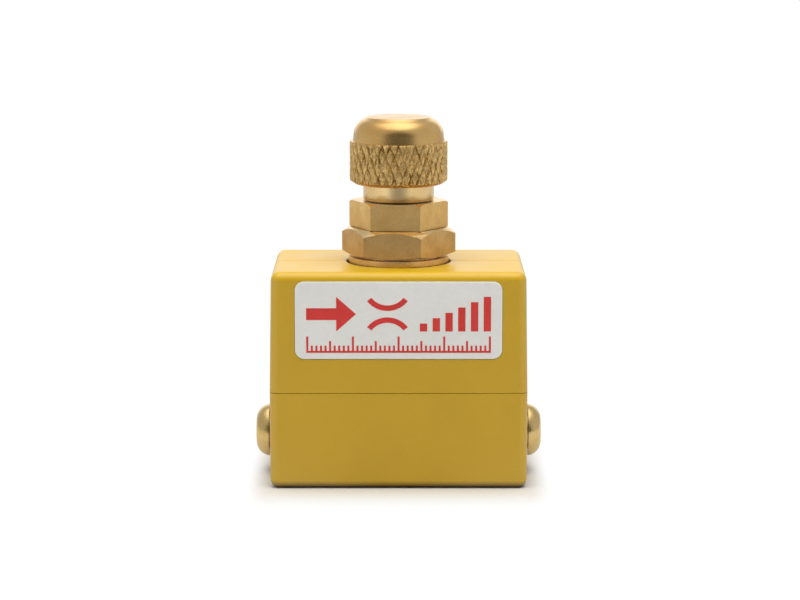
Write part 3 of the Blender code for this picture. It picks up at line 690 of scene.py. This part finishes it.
def screw_places():
    """Name, X and Y of each housing screw."""
    for depth_name, y in (("front", -SCREW_Y), ("rear", SCREW_Y)):
        for side_name, x in (("left", -SCREW_X), ("right", SCREW_X)):
            yield f"{depth_name}_{side_name}", x, y


def housing_block():
    """The block below the seam, with its needle well, port bores, passages and screw holes."""
    low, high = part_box("valve_body")
    top = seam_height() - JOINT_LINE / 2
    shape = box(low, (high.x, high.y, top))
    pull_in_sides(shape, low.z, BLOCK_DRAFT)

    def below_the_seam(edge):
        return min(vertex.co.z for vertex in edge.verts) < top / 2

    round_edges(shape, below_the_seam, EDGE_RADIUS, EDGE_STEPS)
    round_rims(shape, (0, 0, 1))
    block = as_object(shape, "block", PAINT)

    over = top + OVERRUN
    well = [(0, over)]
    for radius, step_floor in WELL_STEPS:
        well += [(radius, well[-1][1]), (radius, step_floor)]
    well.append((0, well[-1][1]))
    tools = [turned("well", well, MEDIUM, BARE_METAL)]

    outside = high.x + 2 * OVERRUN
    bore = [
        (0, outside),
        (PORT_BORE_RADIUS + BORE_CHAMFER + 2 * OVERRUN, outside),
        (PORT_BORE_RADIUS, high.x - BORE_CHAMFER),
        (PORT_BORE_RADIUS, PORT_BORE_FLOOR),
        (TUBE_BORE_RADIUS, PORT_BORE_FLOOR),
        (TUBE_BORE_RADIUS, TUBE_STOP),
        (0, TUBE_STOP),
    ]
    for sign, outer_height, inner_height in PASSAGES:
        ends = (0, 0, PORT_HEIGHT), (sign, 0, PORT_HEIGHT)
        tools.append(rod(f"bore_{sign}", bore, MEDIUM, BARE_METAL, *ends))
        ends = (0, 0, inner_height), (sign * (TUBE_STOP + PASSAGE_OVERLAP), 0, outer_height)
        tools.append(drill(f"passage_{sign}", PASSAGE_RADIUS, *ends, BARE_METAL))

    screw_hole = [
        (0, over),
        (SHANK_HOLE_RADIUS, over),
        (SHANK_HOLE_RADIUS, HEAD_HOLE_DEPTH),
        (HEAD_HOLE_RADIUS, HEAD_HOLE_DEPTH),
        (HEAD_HOLE_RADIUS, BORE_CHAMFER),
        (HEAD_HOLE_RADIUS + BORE_CHAMFER + OVERRUN, -OVERRUN),
        (0, -OVERRUN),
    ]
    for name, x, y in screw_places():
        ends = (x, y, 0), (x, y, 1)
        tools.append(rod(f"screw_hole_{name}", screw_hole, SMALL, BARE_METAL, *ends))
    cut(block, *tools)
    smooth(block)
    stand_for(block, "valve_body")


def housing_cover(node, side):
    """Half of the upper housing. side is -1 for the front half and 1 for the rear one."""
    low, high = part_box(node)
    half_width = high.x
    outer = low.y if side < 0 else high.y
    seam = side * JOINT_LINE / 2
    bottom = seam_height() + JOINT_LINE / 2
    near, far = sorted((outer, seam))
    shape = box((-half_width, near, bottom), (half_width, far, high.z))
    pull_in_sides(shape, high.z, COVER_DRAFT)

    def on_outside(edge):
        ends = [vertex.co for vertex in edge.verts]
        on_seam = all(abs(end.y - seam) < 1e-6 for end in ends)
        on_bottom = all(abs(end.z - bottom) < 1e-6 for end in ends)
        return not on_seam and not on_bottom

    round_edges(shape, on_outside, EDGE_RADIUS, EDGE_STEPS)
    round_rims(shape, (0, -side, 0), SEAM_EDGE)
    round_rims(shape, (0, 0, -1))
    cover = as_object(shape, node, PAINT)

    near, far = sorted((outer - side * WALL, -side * OVERRUN))
    room = box(
        (WALL - half_width, near, bottom - OVERRUN),
        (half_width - WALL, far, high.z - WALL),
    )
    hollow = as_object(room, f"{node}_hollow", BARE_METAL)
    pocket_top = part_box("threaded_insert_front_left")[1].z + OVERRUN
    bosses = []
    pockets = []
    for end in (-1, 1):
        x = end * SCREW_X
        y = side * SCREW_Y
        ends = (x, y, bottom - 2 * OVERRUN), (x, y, high.z - OVERRUN)
        bosses.append(drill(f"{node}_boss_{end}", BOSS_RADIUS, *ends, BARE_METAL))
        ends = (x, y, bottom - OVERRUN), (x, y, pocket_top)
        pockets.append(drill(f"{node}_pocket_{end}", INSERT_HOLE_RADIUS, *ends, BARE_METAL))
    cut(hollow, *bosses)
    hole = turned(
        f"{node}_hole",
        [
            (0, high.z + OVERRUN),
            (COVER_HOLE_RADIUS + HOLE_CHAMFER + OVERRUN, high.z + OVERRUN),
            (COVER_HOLE_RADIUS, high.z - HOLE_CHAMFER),
            (COVER_HOLE_RADIUS, high.z - 2 * WALL),
            (0, high.z - 2 * WALL),
        ],
        FINE,
        PAINT,
    )
    tools = [hollow, *pockets, hole]
    if side < 0:
        label_low, label_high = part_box("label_plate")
        outline = rounded_rectangle(
            label_high.x - label_low.x + 2 * LABEL_GAP,
            label_high.z - label_low.z + 2 * LABEL_GAP,
            LABEL_CORNER + LABEL_GAP,
            (label_low.z + label_high.z) / 2,
        )
        recess = plate(outline, outer - OVERRUN, label_high.y + LABEL_GAP)
        tools.append(as_object(recess, "label_recess", PAINT))
    cut(cover, *tools)
    smooth(cover)
    stand_for(cover, node)


def label():
    """A pale plate with a rounded rim which stands a little proud of the cover. The rim and a thin border
    ring take a lighter colour as a painted highlight.
    """
    low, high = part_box("label_plate")
    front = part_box("front_cover")[0].y - LABEL_PROUD
    centre = (low.z + high.z) / 2
    outline = rounded_rectangle(high.x - low.x, high.z - low.z, LABEL_CORNER, centre)
    shape = plate(outline, front, high.y)

    def on_front(edge):
        return all(vertex.co.y < front + 1e-6 for vertex in edge.verts)

    round_edges(shape, on_front, LABEL_PROUD, 3)
    bmesh.ops.recalc_face_normals(shape, faces=shape.faces)
    printed = max(shape.faces, key=lambda face: face.calc_area() * (face.normal.y < -0.99))
    # A thin border ring and the rim's faces take a lighter film, which is a painted highlight along the
    # rim.
    border = bmesh.ops.inset_region(shape, faces=[printed], thickness=LABEL_BORDER)["faces"]
    for face in border:
        face.material_index = 1
    for face in shape.faces:
        if face.normal.y > -0.99:
            face.material_index = 1
    obj = as_object(shape, "label", FILM, FILM_RIM_HIGHLIGHT)
    smooth(obj)
    stand_for(obj, "label_plate")
    label_print(front, centre)


def tick_height(number):
    """Every tenth tick of the label's scale is long, and every fifth is middling."""
    if number % 10 == 0:
        return 0.0036
    if number % 5 == 0:
        return 0.0026
    return 0.0016


def label_print(front, centre):
    """A generic flow graphic: an arrow, a throttle, rising bars, and a scale under them."""
    left, right = -0.0200, 0.0200
    row_bottom, row_top = -0.0024, 0.0052
    middle = (row_bottom + row_top) / 2
    outlines = []

    shaft, head_start, tip = 0.0013, -0.0135, -0.0092
    outlines.append([
        (left, middle - shaft),
        (head_start, middle - shaft),
        (head_start, row_bottom),
        (tip, middle),
        (head_start, row_top),
        (head_start, middle + shaft),
        (left, middle + shaft),
    ])

    throttle_x, throttle_radius, band, opening = -0.0024, 0.0056, 0.0012, 0.0007
    half_sweep = math.radians(52)
    for up in (-1, 1):
        centre_up = middle + up * (opening + throttle_radius)
        angles = [half_sweep * step / 12 for step in range(-12, 13)]
        inner = [
            (throttle_x + throttle_radius * math.sin(a), centre_up - up * throttle_radius * math.cos(a))
            for a in angles
        ]
        outer_radius = throttle_radius - band
        outer = [
            (throttle_x + outer_radius * math.sin(a), centre_up - up * outer_radius * math.cos(a))
            for a in reversed(angles)
        ]
        outlines.append(inner + outer)

    bars_left, bar_count, bar_width = 0.0046, 6, 0.0016
    pitch = (right - bar_width - bars_left) / (bar_count - 1)
    for number in range(bar_count):
        x = bars_left + number * pitch
        height = (row_top - row_bottom) * (number + 1.5) / (bar_count + 0.5)
        outlines.append([
            (x, row_bottom),
            (x + bar_width, row_bottom),
            (x + bar_width, row_bottom + height),
            (x, row_bottom + height),
        ])

    line, scale_bottom, tick_count = 0.00045, -0.0071, 41
    tick_pitch = (right - left - line) / (tick_count - 1)
    comb = [(left, scale_bottom), (right, scale_bottom)]
    for number in reversed(range(tick_count)):
        x = left + number * tick_pitch
        height = tick_height(number)
        foot = scale_bottom + line
        comb += [(x + line, foot), (x + line, scale_bottom + height)]
        comb += [(x, scale_bottom + height), (x, foot)]
    comb = [point for i, point in enumerate(comb) if point != comb[i - 1]]
    outlines.append(comb)

    shape = bmesh.new()
    for outline in outlines:
        raised = [(x, centre + z) for x, z in outline]
        part = plate(raised, front - INK_PROUD, front + INK_PROUD)
        mesh = bpy.data.meshes.new("ink")
        part.to_mesh(mesh)
        part.free()
        shape.from_mesh(mesh)
        bpy.data.meshes.remove(mesh)
    ink = as_object(shape, "label_print", INK)
    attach(ink, "housing")


# --------------------------------------------------------------------------------------
# Brass stack
# --------------------------------------------------------------------------------------


def bonnet():
    """Hex, collar, flange, barrel and threaded end in one turned piece."""
    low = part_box("bonnet")[0]
    corner = BONNET_HEX / 2 / math.cos(math.pi / 6)
    undercut_floor = BONNET_COLLAR_TOP - UNDERCUT_HEIGHT
    flange_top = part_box("front_cover")[1].z - WALL - FLANGE_GAP
    flange_bottom = flange_top - FLANGE_HEIGHT
    profile = [
        (STUFFING_RADIUS, NOSE_TOP),
        (NOSE_RADIUS - CHAMFER, NOSE_TOP),
        (NOSE_RADIUS, NOSE_TOP - CHAMFER),
        (NOSE_RADIUS, BONNET_HEX_TOP),
        (BONNET_CHAMFER_RADIUS, BONNET_HEX_TOP),
        (corner, BONNET_HEX_TOP - BONNET_CHAMFER_DROP),
        (corner, BONNET_COLLAR_TOP + HEX_FOOT_CHAMFER),
        (BONNET_COLLAR_RADIUS - TOOL_EDGE, BONNET_COLLAR_TOP, 0.00003),
        (UNDERCUT_RADIUS, BONNET_COLLAR_TOP),
        (UNDERCUT_RADIUS, undercut_floor),
        (BONNET_COLLAR_RADIUS, undercut_floor, 0.00008),
        (BONNET_COLLAR_RADIUS, flange_top),
        (FLANGE_RADIUS, flange_top),
        (FLANGE_RADIUS, flange_bottom),
        (BARREL_RADIUS, flange_bottom),
        (BARREL_RADIUS, FOOT_TOP),
        (FOOT_RADIUS, FOOT_TOP),
        (FOOT_RADIUS, FOOT_BOTTOM),
        (BONNET_THREAD_RADIUS, FOOT_BOTTOM),
        (BONNET_THREAD_RADIUS, low.z + CHAMFER),
        (BONNET_THREAD_RADIUS - CHAMFER, low.z),
        (GUIDE_RADIUS, low.z),
        (GUIDE_RADIUS, GUIDE_TOP),
        (STEM_RADIUS + PLAY, GUIDE_TOP),
        (STEM_RADIUS + PLAY, STUFFING_FLOOR),
        (STUFFING_RADIUS, STUFFING_FLOOR),
    ]
    blank = turned("bonnet", rounded(profile, closed=True), FINE, BONNET_BRASS, closed=True)
    outline = hexagon(BONNET_HEX, BONNET_HEX_TURN)
    in_undercut = BONNET_COLLAR_TOP - 0.0002
    over = BONNET_HEX_TOP + OVERRUN
    cut(blank, sleeve("trimmer", outline, in_undercut, over, BONNET_FLATS))

    # The turned faces of the hex take the lighter, smoother polished brass. Its lighter colour is a painted
    # highlight, and its lower roughness is a real polish.
    blank.data.materials.append(POLISHED_BRASS)
    for face in blank.data.polygons:
        if face.center.z > BONNET_COLLAR_TOP and face.material_index == 0:
            face.material_index = 2
    smooth(blank)
    stand_for(blank, "bonnet")


def packing_nut():
    """The smaller hex, hollow over the bonnet's nose, with a hole for the stem."""
    low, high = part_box("packing_nut")
    corner = NUT_HEX / 2 / math.cos(math.pi / 6)
    bottom = low.z - NUT_SINK
    profile = [
        (NUT_HOLE_RADIUS, high.z),
        (NUT_CHAMFER_RADIUS, high.z),
        (corner, high.z - NUT_CHAMFER_DROP),
        (corner, bottom),
        (NOSE_RADIUS + PLAY, bottom),
        (NOSE_RADIUS + PLAY, NOSE_TOP + PLAY),
        (NUT_HOLE_RADIUS, NOSE_TOP + PLAY),
    ]
    name = "packing_nut"
    blank = turned(name, rounded(profile, closed=True), FINE, POLISHED_BRASS, closed=True)
    outline = hexagon(NUT_HEX, NUT_HEX_TURN)
    cut(blank, sleeve("trimmer", outline, low.z - OVERRUN, high.z + OVERRUN, NUT_FLATS))
    smooth(blank)
    stand_for(blank, name)


def knurl_height(column, row):
    """How high the knurl stands at a point of its lattice: 0 in a groove and 1 on a crest."""
    height = 1.0
    for turn in (column + row, column - row):
        part = turn / KNURL_STEPS
        from_groove = 2 * abs(part - round(part))
        height = min(height, math.sin(math.pi / 2 * min(1.0, from_groove / KNURL_GROOVE_SHARE)))
    return height


def knurl_radii(columns, row, height, limit):
    """Radii round one ring of the knurled band, with its flaws, and none above limit."""
    radii = []
    for column in range(columns):
        turn = math.tau * column / columns
        up = KNURL_FLAW_STRETCH * height / KNURL_RADIUS
        spot = Vector((math.cos(turn), math.sin(turn), up))
        flaw = KNURL_FLAW * noise.noise(spot * KNURL_FLAW_COUNT)
        depth = KNURL_DEPTH * (0.75 + 0.7 * noise.noise(spot * KNURL_FLAW_COUNT / 2))
        crest = KNURL_RADIUS - depth * (1 - knurl_height(column, row))
        radii.append(min(limit, KNURL_RADIUS, crest + flaw))
    return radii


def knob_profiles(top, bottom):
    """Profiles of the dome above the knurled band, and of the hub and its bore below it."""
    dome = [(0, top), (DOME_FLAT_RADIUS, top, DOME_RIM)]
    dome += arc(DOME_ARC_CENTRE, DOME_ARC_RADIUS, DOME_ARC_END, DOME_ARC_START, 20)
    dome += [
        (DOME_FOOT_RADIUS, KNURL_TOP, 0),
        (KNURL_RADIUS - KNURL_DEPTH - TOOL_EDGE, KNURL_TOP),
    ]
    hub = [
        (KNURL_FOOT_RADIUS, KNURL_BOTTOM, 0),
        (HUB_RADIUS, KNURL_BOTTOM, HUB_FILLET),
        (HUB_RADIUS, bottom),
        (KNOB_BORE_RADIUS, bottom),
        (KNOB_BORE_RADIUS, KNOB_BORE_TOP, 0),
        (0, KNOB_BORE_TOP),
    ]
    return rounded(dome, 0, 6), rounded(hub, TOOL_EDGE, 2)


def knob():
    """Hub, knurled band and dome. The band's lattice follows the two sets of grooves."""
    low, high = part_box("adjusting_knob")
    columns = KNURL_STARTS * KNURL_STEPS
    diamond_height = math.tau * KNURL_RADIUS / KNURL_STARTS / math.tan(KNURL_ANGLE)
    row_height = diamond_height / KNURL_STEPS
    dome, hub = knob_profiles(high.z, low.z - HUB_SINK)
    shape = bmesh.new()

    def ring(radii, height):
        return [
            shape.verts.new((
                radius * math.cos(math.tau * column / columns),
                radius * math.sin(math.tau * column / columns),
                height,
            ))
            for column, radius in enumerate(radii)
        ]

    rings = [ring([radius] * columns, height) for radius, height in dome[1:]]

    # A bevel at the top of the band, then the lattice, which the lower chamfer trims.
    first_row = len(rings) + 1
    bevelled = knurl_radii(columns, 0, KNURL_TOP, KNURL_RADIUS - KNURL_BEVEL)
    rings.append(ring(bevelled, KNURL_TOP))
    lattice_top = KNURL_TOP - KNURL_BEVEL
    slope = (KNURL_RADIUS - KNURL_FOOT_RADIUS) / KNURL_CHAMFER
    rows = int((lattice_top - KNURL_BOTTOM) / row_height)
    for row in range(rows + 1):
        height = lattice_top - row * row_height
        limit = KNURL_FOOT_RADIUS + slope * (height - KNURL_BOTTOM)
        rings.append(ring(knurl_radii(columns, row, height, limit), height))
    rings += [ring([radius] * columns, height) for radius, height in hub[:-1]]

    top = shape.verts.new((0, 0, high.z))
    bottom = shape.verts.new((0, 0, KNOB_BORE_TOP))
    for i in range(columns):
        shape.faces.new((top, rings[0][i - 1], rings[0][i]))
        shape.faces.new((bottom, rings[-1][i], rings[-1][i - 1]))
    for index, (upper_ring, lower_ring) in enumerate(zip(rings, rings[1:])):
        row = index - first_row
        for column in range(columns):
            after = (column + 1) % columns
            a, b = upper_ring[column], upper_ring[after]
            c, d = lower_ring[after], lower_ring[column]
            if 0 <= row < rows and (column - row) % KNURL_STEPS == 0:
                shape.faces.new((a, c, b))
                shape.faces.new((a, d, c))
            elif 0 <= row < rows and (column + row + 1) % KNURL_STEPS == 0:
                shape.faces.new((a, d, b))
                shape.faces.new((b, d, c))
            else:
                shape.faces.new((a, d, c, b))
    obj = as_object(shape, "knob", DOME_BRASS, KNURL_BRASS, POLISHED_BRASS)

    screw_low, screw_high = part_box("knob_set_screw")
    screw_height = (screw_low.z + screw_high.z) / 2
    screw_hole = [
        (0, SCREW_HOLE_LENGTH),
        (SCREW_HOLE_RADIUS + SCREW_HOLE_FLARE, SCREW_HOLE_LENGTH),
        (SCREW_HOLE_RADIUS, HUB_RADIUS - SCREW_HOLE_START - TOOL_EDGE),
        (SCREW_HOLE_RADIUS, 0),
        (0, 0),
    ]
    ends = (0, SCREW_HOLE_START, screw_height), (0, 1, screw_height)
    cut(obj, rod("set_screw_hole", screw_hole, SMALL, POLISHED_BRASS, *ends))
    finish_knob(obj)
    smooth(obj, 38)
    stand_for(obj, "adjusting_knob")
    set_screw(screw_height)


def finish_knob(obj):
    """Gives the knob's three zones their finishes, and marks how deep in a groove each point is."""
    mesh = obj.data
    mesh.materials.clear()
    for material in (DOME_BRASS, KNURL_BRASS, POLISHED_BRASS):
        mesh.materials.append(material)
    for face in mesh.polygons:
        radius = math.hypot(face.center.x, face.center.y)
        if face.center.z > KNURL_TOP - 1e-6:
            face.material_index = 0
        elif radius > KNURL_FOOT_RADIUS - TOOL_EDGE:
            face.material_index = 1
        else:
            face.material_index = 2
    # How deep each point lies in a groove. The knurl's finish paints shade from this value.
    band_floor = KNURL_RADIUS - KNURL_DEPTH - 0.0002
    cavity = mesh.attributes.new("cavity", "FLOAT", "POINT")
    for vertex in mesh.vertices:
        radius = math.hypot(vertex.co.x, vertex.co.y)
        in_band = radius > band_floor and vertex.co.z < KNURL_TOP + 1e-6
        sunk = (KNURL_RADIUS - radius) / KNURL_DEPTH
        cavity.data[vertex.index].value = min(1.0, sunk) if in_band else 0.0


def set_screw(height):
    """A grub screw with a hex socket, in the back of the hub."""
    low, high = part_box("knob_set_screw")
    length = high.y - low.y
    profile = [
        (0, length),
        (SET_SCREW_RADIUS, length),
        (SET_SCREW_RADIUS, CHAMFER),
        (SET_SCREW_RADIUS - CHAMFER, 0),
        (0, 0),
    ]
    ends = (0, low.y, height), (0, 1, height)
    screw = rod("set_screw", rounded(profile, TOOL_EDGE / 2), SMALL, STEEL, *ends)
    socket_floor = length - SET_SCREW_SOCKET
    socket = hex_key("socket", SET_SCREW_HEX, socket_floor, length + OVERRUN, STEEL)
    socket.matrix_world = screw.matrix_world.copy()
    cut(screw, socket)
    smooth(screw)
    stand_for(screw, "knob_set_screw")


def hex_key(name, across_flats, bottom, top, material):
    """A hex key's shape, to cut a socket."""
    shape = bmesh.new()
    outline = hexagon(across_flats, 0, 0.00003, 2)
    face = shape.faces.new([shape.verts.new((x, y, bottom)) for x, y in outline])
    pushed = bmesh.ops.extrude_face_region(shape, geom=[face])["geom"]
    tops = [item for item in pushed if isinstance(item, bmesh.types.BMVert)]
    bmesh.ops.translate(shape, verts=tops, vec=(0, 0, top - bottom))
    return as_object(shape, name, material)


def stem():
    """Smooth where it runs through the packing, thicker below, with the needle's button."""
    low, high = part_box("stem")
    profile = [
        (0, high.z),
        (STEM_RADIUS - STEM_CHAMFER, high.z),
        (STEM_RADIUS, high.z - STEM_CHAMFER),
        (STEM_RADIUS, STEM_THREAD_TOP + STEM_CHAMFER),
        (STEM_THREAD_RADIUS - STEM_CHAMFER, STEM_THREAD_TOP),
        (STEM_THREAD_RADIUS, STEM_THREAD_TOP - STEM_CHAMFER),
        (STEM_THREAD_RADIUS, STEM_THREAD_BOTTOM),
        (SHOULDER_RADIUS, STEM_THREAD_BOTTOM - 2 * STEM_CHAMFER),
        (SHOULDER_RADIUS, NECK_TOP),
        (NECK_RADIUS, NECK_TOP),
        (NECK_RADIUS, BUTTON_TOP),
        (BUTTON_RADIUS, BUTTON_TOP),
        (BUTTON_RADIUS, low.z),
        (0, low.z),
    ]
    obj = turned("stem", rounded(profile, 0.00006), MEDIUM, STEEL)
    smooth(obj)
    stand_for(obj, "stem")


# --------------------------------------------------------------------------------------
# Tube ports
# --------------------------------------------------------------------------------------


def release_collar(side, sign):
    """The domed rim of a push-in port, with its split tail."""
    barb_back = COLLAR_TAIL_END + COLLAR_BARB_LENGTH
    profile = [
        (COLLAR_BORE_RADIUS, COLLAR_FACE - BORE_CHAMFER),
        (COLLAR_BORE_RADIUS + BORE_CHAMFER, COLLAR_FACE, 0.00008),
    ]
    profile += arc(
        COLLAR_DOME_CENTRE, COLLAR_DOME_RADIUS, COLLAR_DOME_START, COLLAR_DOME_END, 20
    )
    profile += [
        (COLLAR_TAIL_RADIUS, COLLAR_FLANGE_BACK),
        (COLLAR_TAIL_RADIUS, barb_back),
        (COLLAR_BARB_RADIUS, barb_back),
        (COLLAR_TAIL_RADIUS, COLLAR_TAIL_END),
        (COLLAR_BORE_RADIUS, COLLAR_TAIL_END),
    ]
    obj = turned("collar", rounded(profile, closed=True), FINE, COLLAR_BRASS, closed=True)
    slots = []
    for x, y in (
        (COLLAR_SLOT_REACH, COLLAR_SLOT_HALF_WIDTH),
        (COLLAR_SLOT_HALF_WIDTH, COLLAR_SLOT_REACH),
    ):
        slot = box((-x, -y, COLLAR_TAIL_END - OVERRUN), (x, y, COLLAR_SLOT_END))
        slots.append(as_object(slot, "slot", COLLAR_BRASS))
    cut(obj, *slots)
    obj.matrix_world = aimed((0, 0, PORT_HEIGHT), (sign, 0, 0))
    smooth(obj)
    stand_for(obj, f"release_collar_{side}")


# --------------------------------------------------------------------------------------
# Studio
# --------------------------------------------------------------------------------------


def camera():
    data = bpy.data.cameras.new("camera")
    data.lens = CAMERA_LENS
    data.sensor_width = SENSOR_WIDTH
    obj = bpy.data.objects.new("camera", data)
    obj.location = CAMERA_PLACE
    obj.rotation_euler = (math.pi / 2 - CAMERA_PITCH, 0, 0)
    bpy.context.scene.collection.objects.link(obj)
    bpy.context.scene.camera = obj


def tent():
    """A light tent: brightest overhead, soft at the sides, and dark where the camera stands."""
    world = bpy.data.worlds.new("tent")
    bpy.context.scene.world = world
    world.use_nodes = True
    tree = world.node_tree
    background = tree.nodes["Background"]
    background.inputs["Color"].default_value = (1, 1, 1, 1)

    def add(kind, inputs, **settings):
        node = tree.nodes.new(f"ShaderNode{kind}")
        for name, value in settings.items():
            setattr(node, name, value)
        for socket, value in inputs.items():
            if isinstance(value, bpy.types.NodeSocket):
                tree.links.new(value, node.inputs[socket])
            else:
                node.inputs[socket].default_value = value
        return node

    def ease(value, start, end, low, high):
        inputs = {"Value": value, "From Min": start, "From Max": end, "To Min": low, "To Max": high}
        return add("MapRange", inputs, interpolation_type="SMOOTHSTEP").outputs["Result"]

    def larger(first, second):
        return add("Math", {0: first, 1: second}, operation="MAXIMUM").outputs[0]

    direction = add("TexCoord", {}).outputs["Generated"]
    parts = add("SeparateXYZ", {0: direction}).outputs
    overhead = ease(parts[2], 0.76, 0.96, 0.0, 1.02)
    behind = ease(parts[1], 0.70, 0.97, 0.0, 0.72)

    # The dark room beyond the tent's mouth is an ellipse round the way to the camera.
    inputs = {0: direction, 1: (0.02, 0.0, 0.09)}
    off_axis = add("VectorMath", inputs, operation="SUBTRACT").outputs[0]
    inputs = {0: off_axis, 1: (1 / 0.62, 0.0, 1 / 0.54)}
    spread = add("VectorMath", inputs, operation="MULTIPLY").outputs[0]
    reach = add("VectorMath", {0: spread}, operation="LENGTH").outputs["Value"]
    mouth = ease(reach, 0.70, 1.30, 0.11, 0.55)
    wall = larger(mouth, ease(parts[1], -0.1, 0.1, 0.0, 0.46))

    lit = add("Math", {0: larger(overhead, behind), 1: wall}, operation="ADD").outputs[0]
    seen = add("LightPath", {}).outputs["Is Camera Ray"]
    mixed = add("Mix", {0: seen, 2: lit, 3: 1.0}, data_type="FLOAT").outputs[0]
    tree.links.new(mixed, background.inputs["Strength"])


def overhead_light():
    """A soft box. Reflections see the tent's bright roof in its place."""
    data = bpy.data.lights.new("overhead", "AREA")
    data.shape = "RECTANGLE"
    data.size = 0.9
    data.size_y = 0.6
    radiance = 2.9
    data.energy = radiance * math.pi * data.size * data.size_y
    obj = bpy.data.objects.new("overhead", data)
    obj.location = (0, -0.20, 0.72)
    obj.rotation_euler = (math.radians(15.5), 0, 0)
    obj.visible_glossy = False
    bpy.context.scene.collection.objects.link(obj)


def floor():
    """A sheet of white paper. Reflections see it painted darker on the side of the camera, as painted shade
    for the dark room there.
    """
    shape = bmesh.new()
    bmesh.ops.create_grid(shape, x_segments=1, y_segments=1, size=6.0)
    finish = Finish("paper", Roughness=0.9, Specular_IOR_Level=0.1)
    grain = finish.noise(300.0)
    plain = finish.mix(grain, (0.46, 0.455, 0.45), (0.49, 0.485, 0.48))
    exposed = finish.mix(grain, (0.62, 0.595, 0.54), (0.64, 0.615, 0.56))
    path = finish.add("LightPath").outputs
    bearing = finish.add("VectorMath", {0: finish.place}, operation="NORMALIZE").outputs[0]
    toward = finish.add("SeparateXYZ", {0: bearing}).outputs[1]
    # Painted shade seen only in reflections: the paper darkens towards the camera.
    away = finish.ramp(toward, 0.0, 1.0, -0.98, -0.78)
    painted_dark_for_reflections = finish.mix(away, (0.25, 0.25, 0.25), (0.62, 0.615, 0.61))
    colour = finish.mix(path["Is Glossy Ray"], plain, painted_dark_for_reflections)

    # To the camera the sheet is over-exposed to plain white, but for the shadow by the valve.
    half_size = (CAD_BOX[1] - CAD_BOX[0]) / 2
    folded = finish.add("VectorMath", {0: finish.place}, operation="ABSOLUTE").outputs[0]
    inputs = {0: folded, 1: (0.028, half_size.y, 0.0)}
    beyond = finish.add("VectorMath", inputs, operation="SUBTRACT").outputs[0]
    outside = finish.add("VectorMath", {0: beyond, 1: (0, 0, 0)}, operation="MAXIMUM").outputs[0]
    nearness = finish.stretched((3.4, 1.0, 1.0), outside)
    distance = finish.add("VectorMath", {0: nearness}, operation="LENGTH").outputs["Value"]
    inputs = {"Value": distance, "From Min": 0.0, "From Max": 0.024}
    fade = finish.add("MapRange", inputs, interpolation_type="SMOOTHERSTEP").outputs["Result"]
    burnt = finish.math("POWER", fade, 0.7)
    shown = finish.mix(burnt, exposed, (0.0, 0.0, 0.0))
    glow = finish.math("MULTIPLY", burnt, path["Is Camera Ray"])
    colour = finish.mix(path["Is Camera Ray"], colour, shown)
    finish.shader.inputs["Emission Color"].default_value = (1.02, 1.02, 1.02, 1.0)
    sheet = as_object(shape, "floor", finish.feed(Base_Color=colour, Emission_Strength=glow))


# --------------------------------------------------------------------------------------
# Everything
# --------------------------------------------------------------------------------------

for node, obj in frame["nodes"].items():
    for place in obj.material_slots:
        place.link = "OBJECT"
        place.material = FINISH_OF_SLOT[SLOT_OF_NODE[node]]

camera()
tent()
overhead_light()
floor()
housing_block()
housing_cover("front_cover", -1)
housing_cover("rear_cover", 1)
label()
bonnet()
packing_nut()
knob()
stem()
release_collar("left", -1)
release_collar("right", 1)

bpy.context.scene.view_settings.view_transform = "Standard"
bpy.context.view_layer.update()
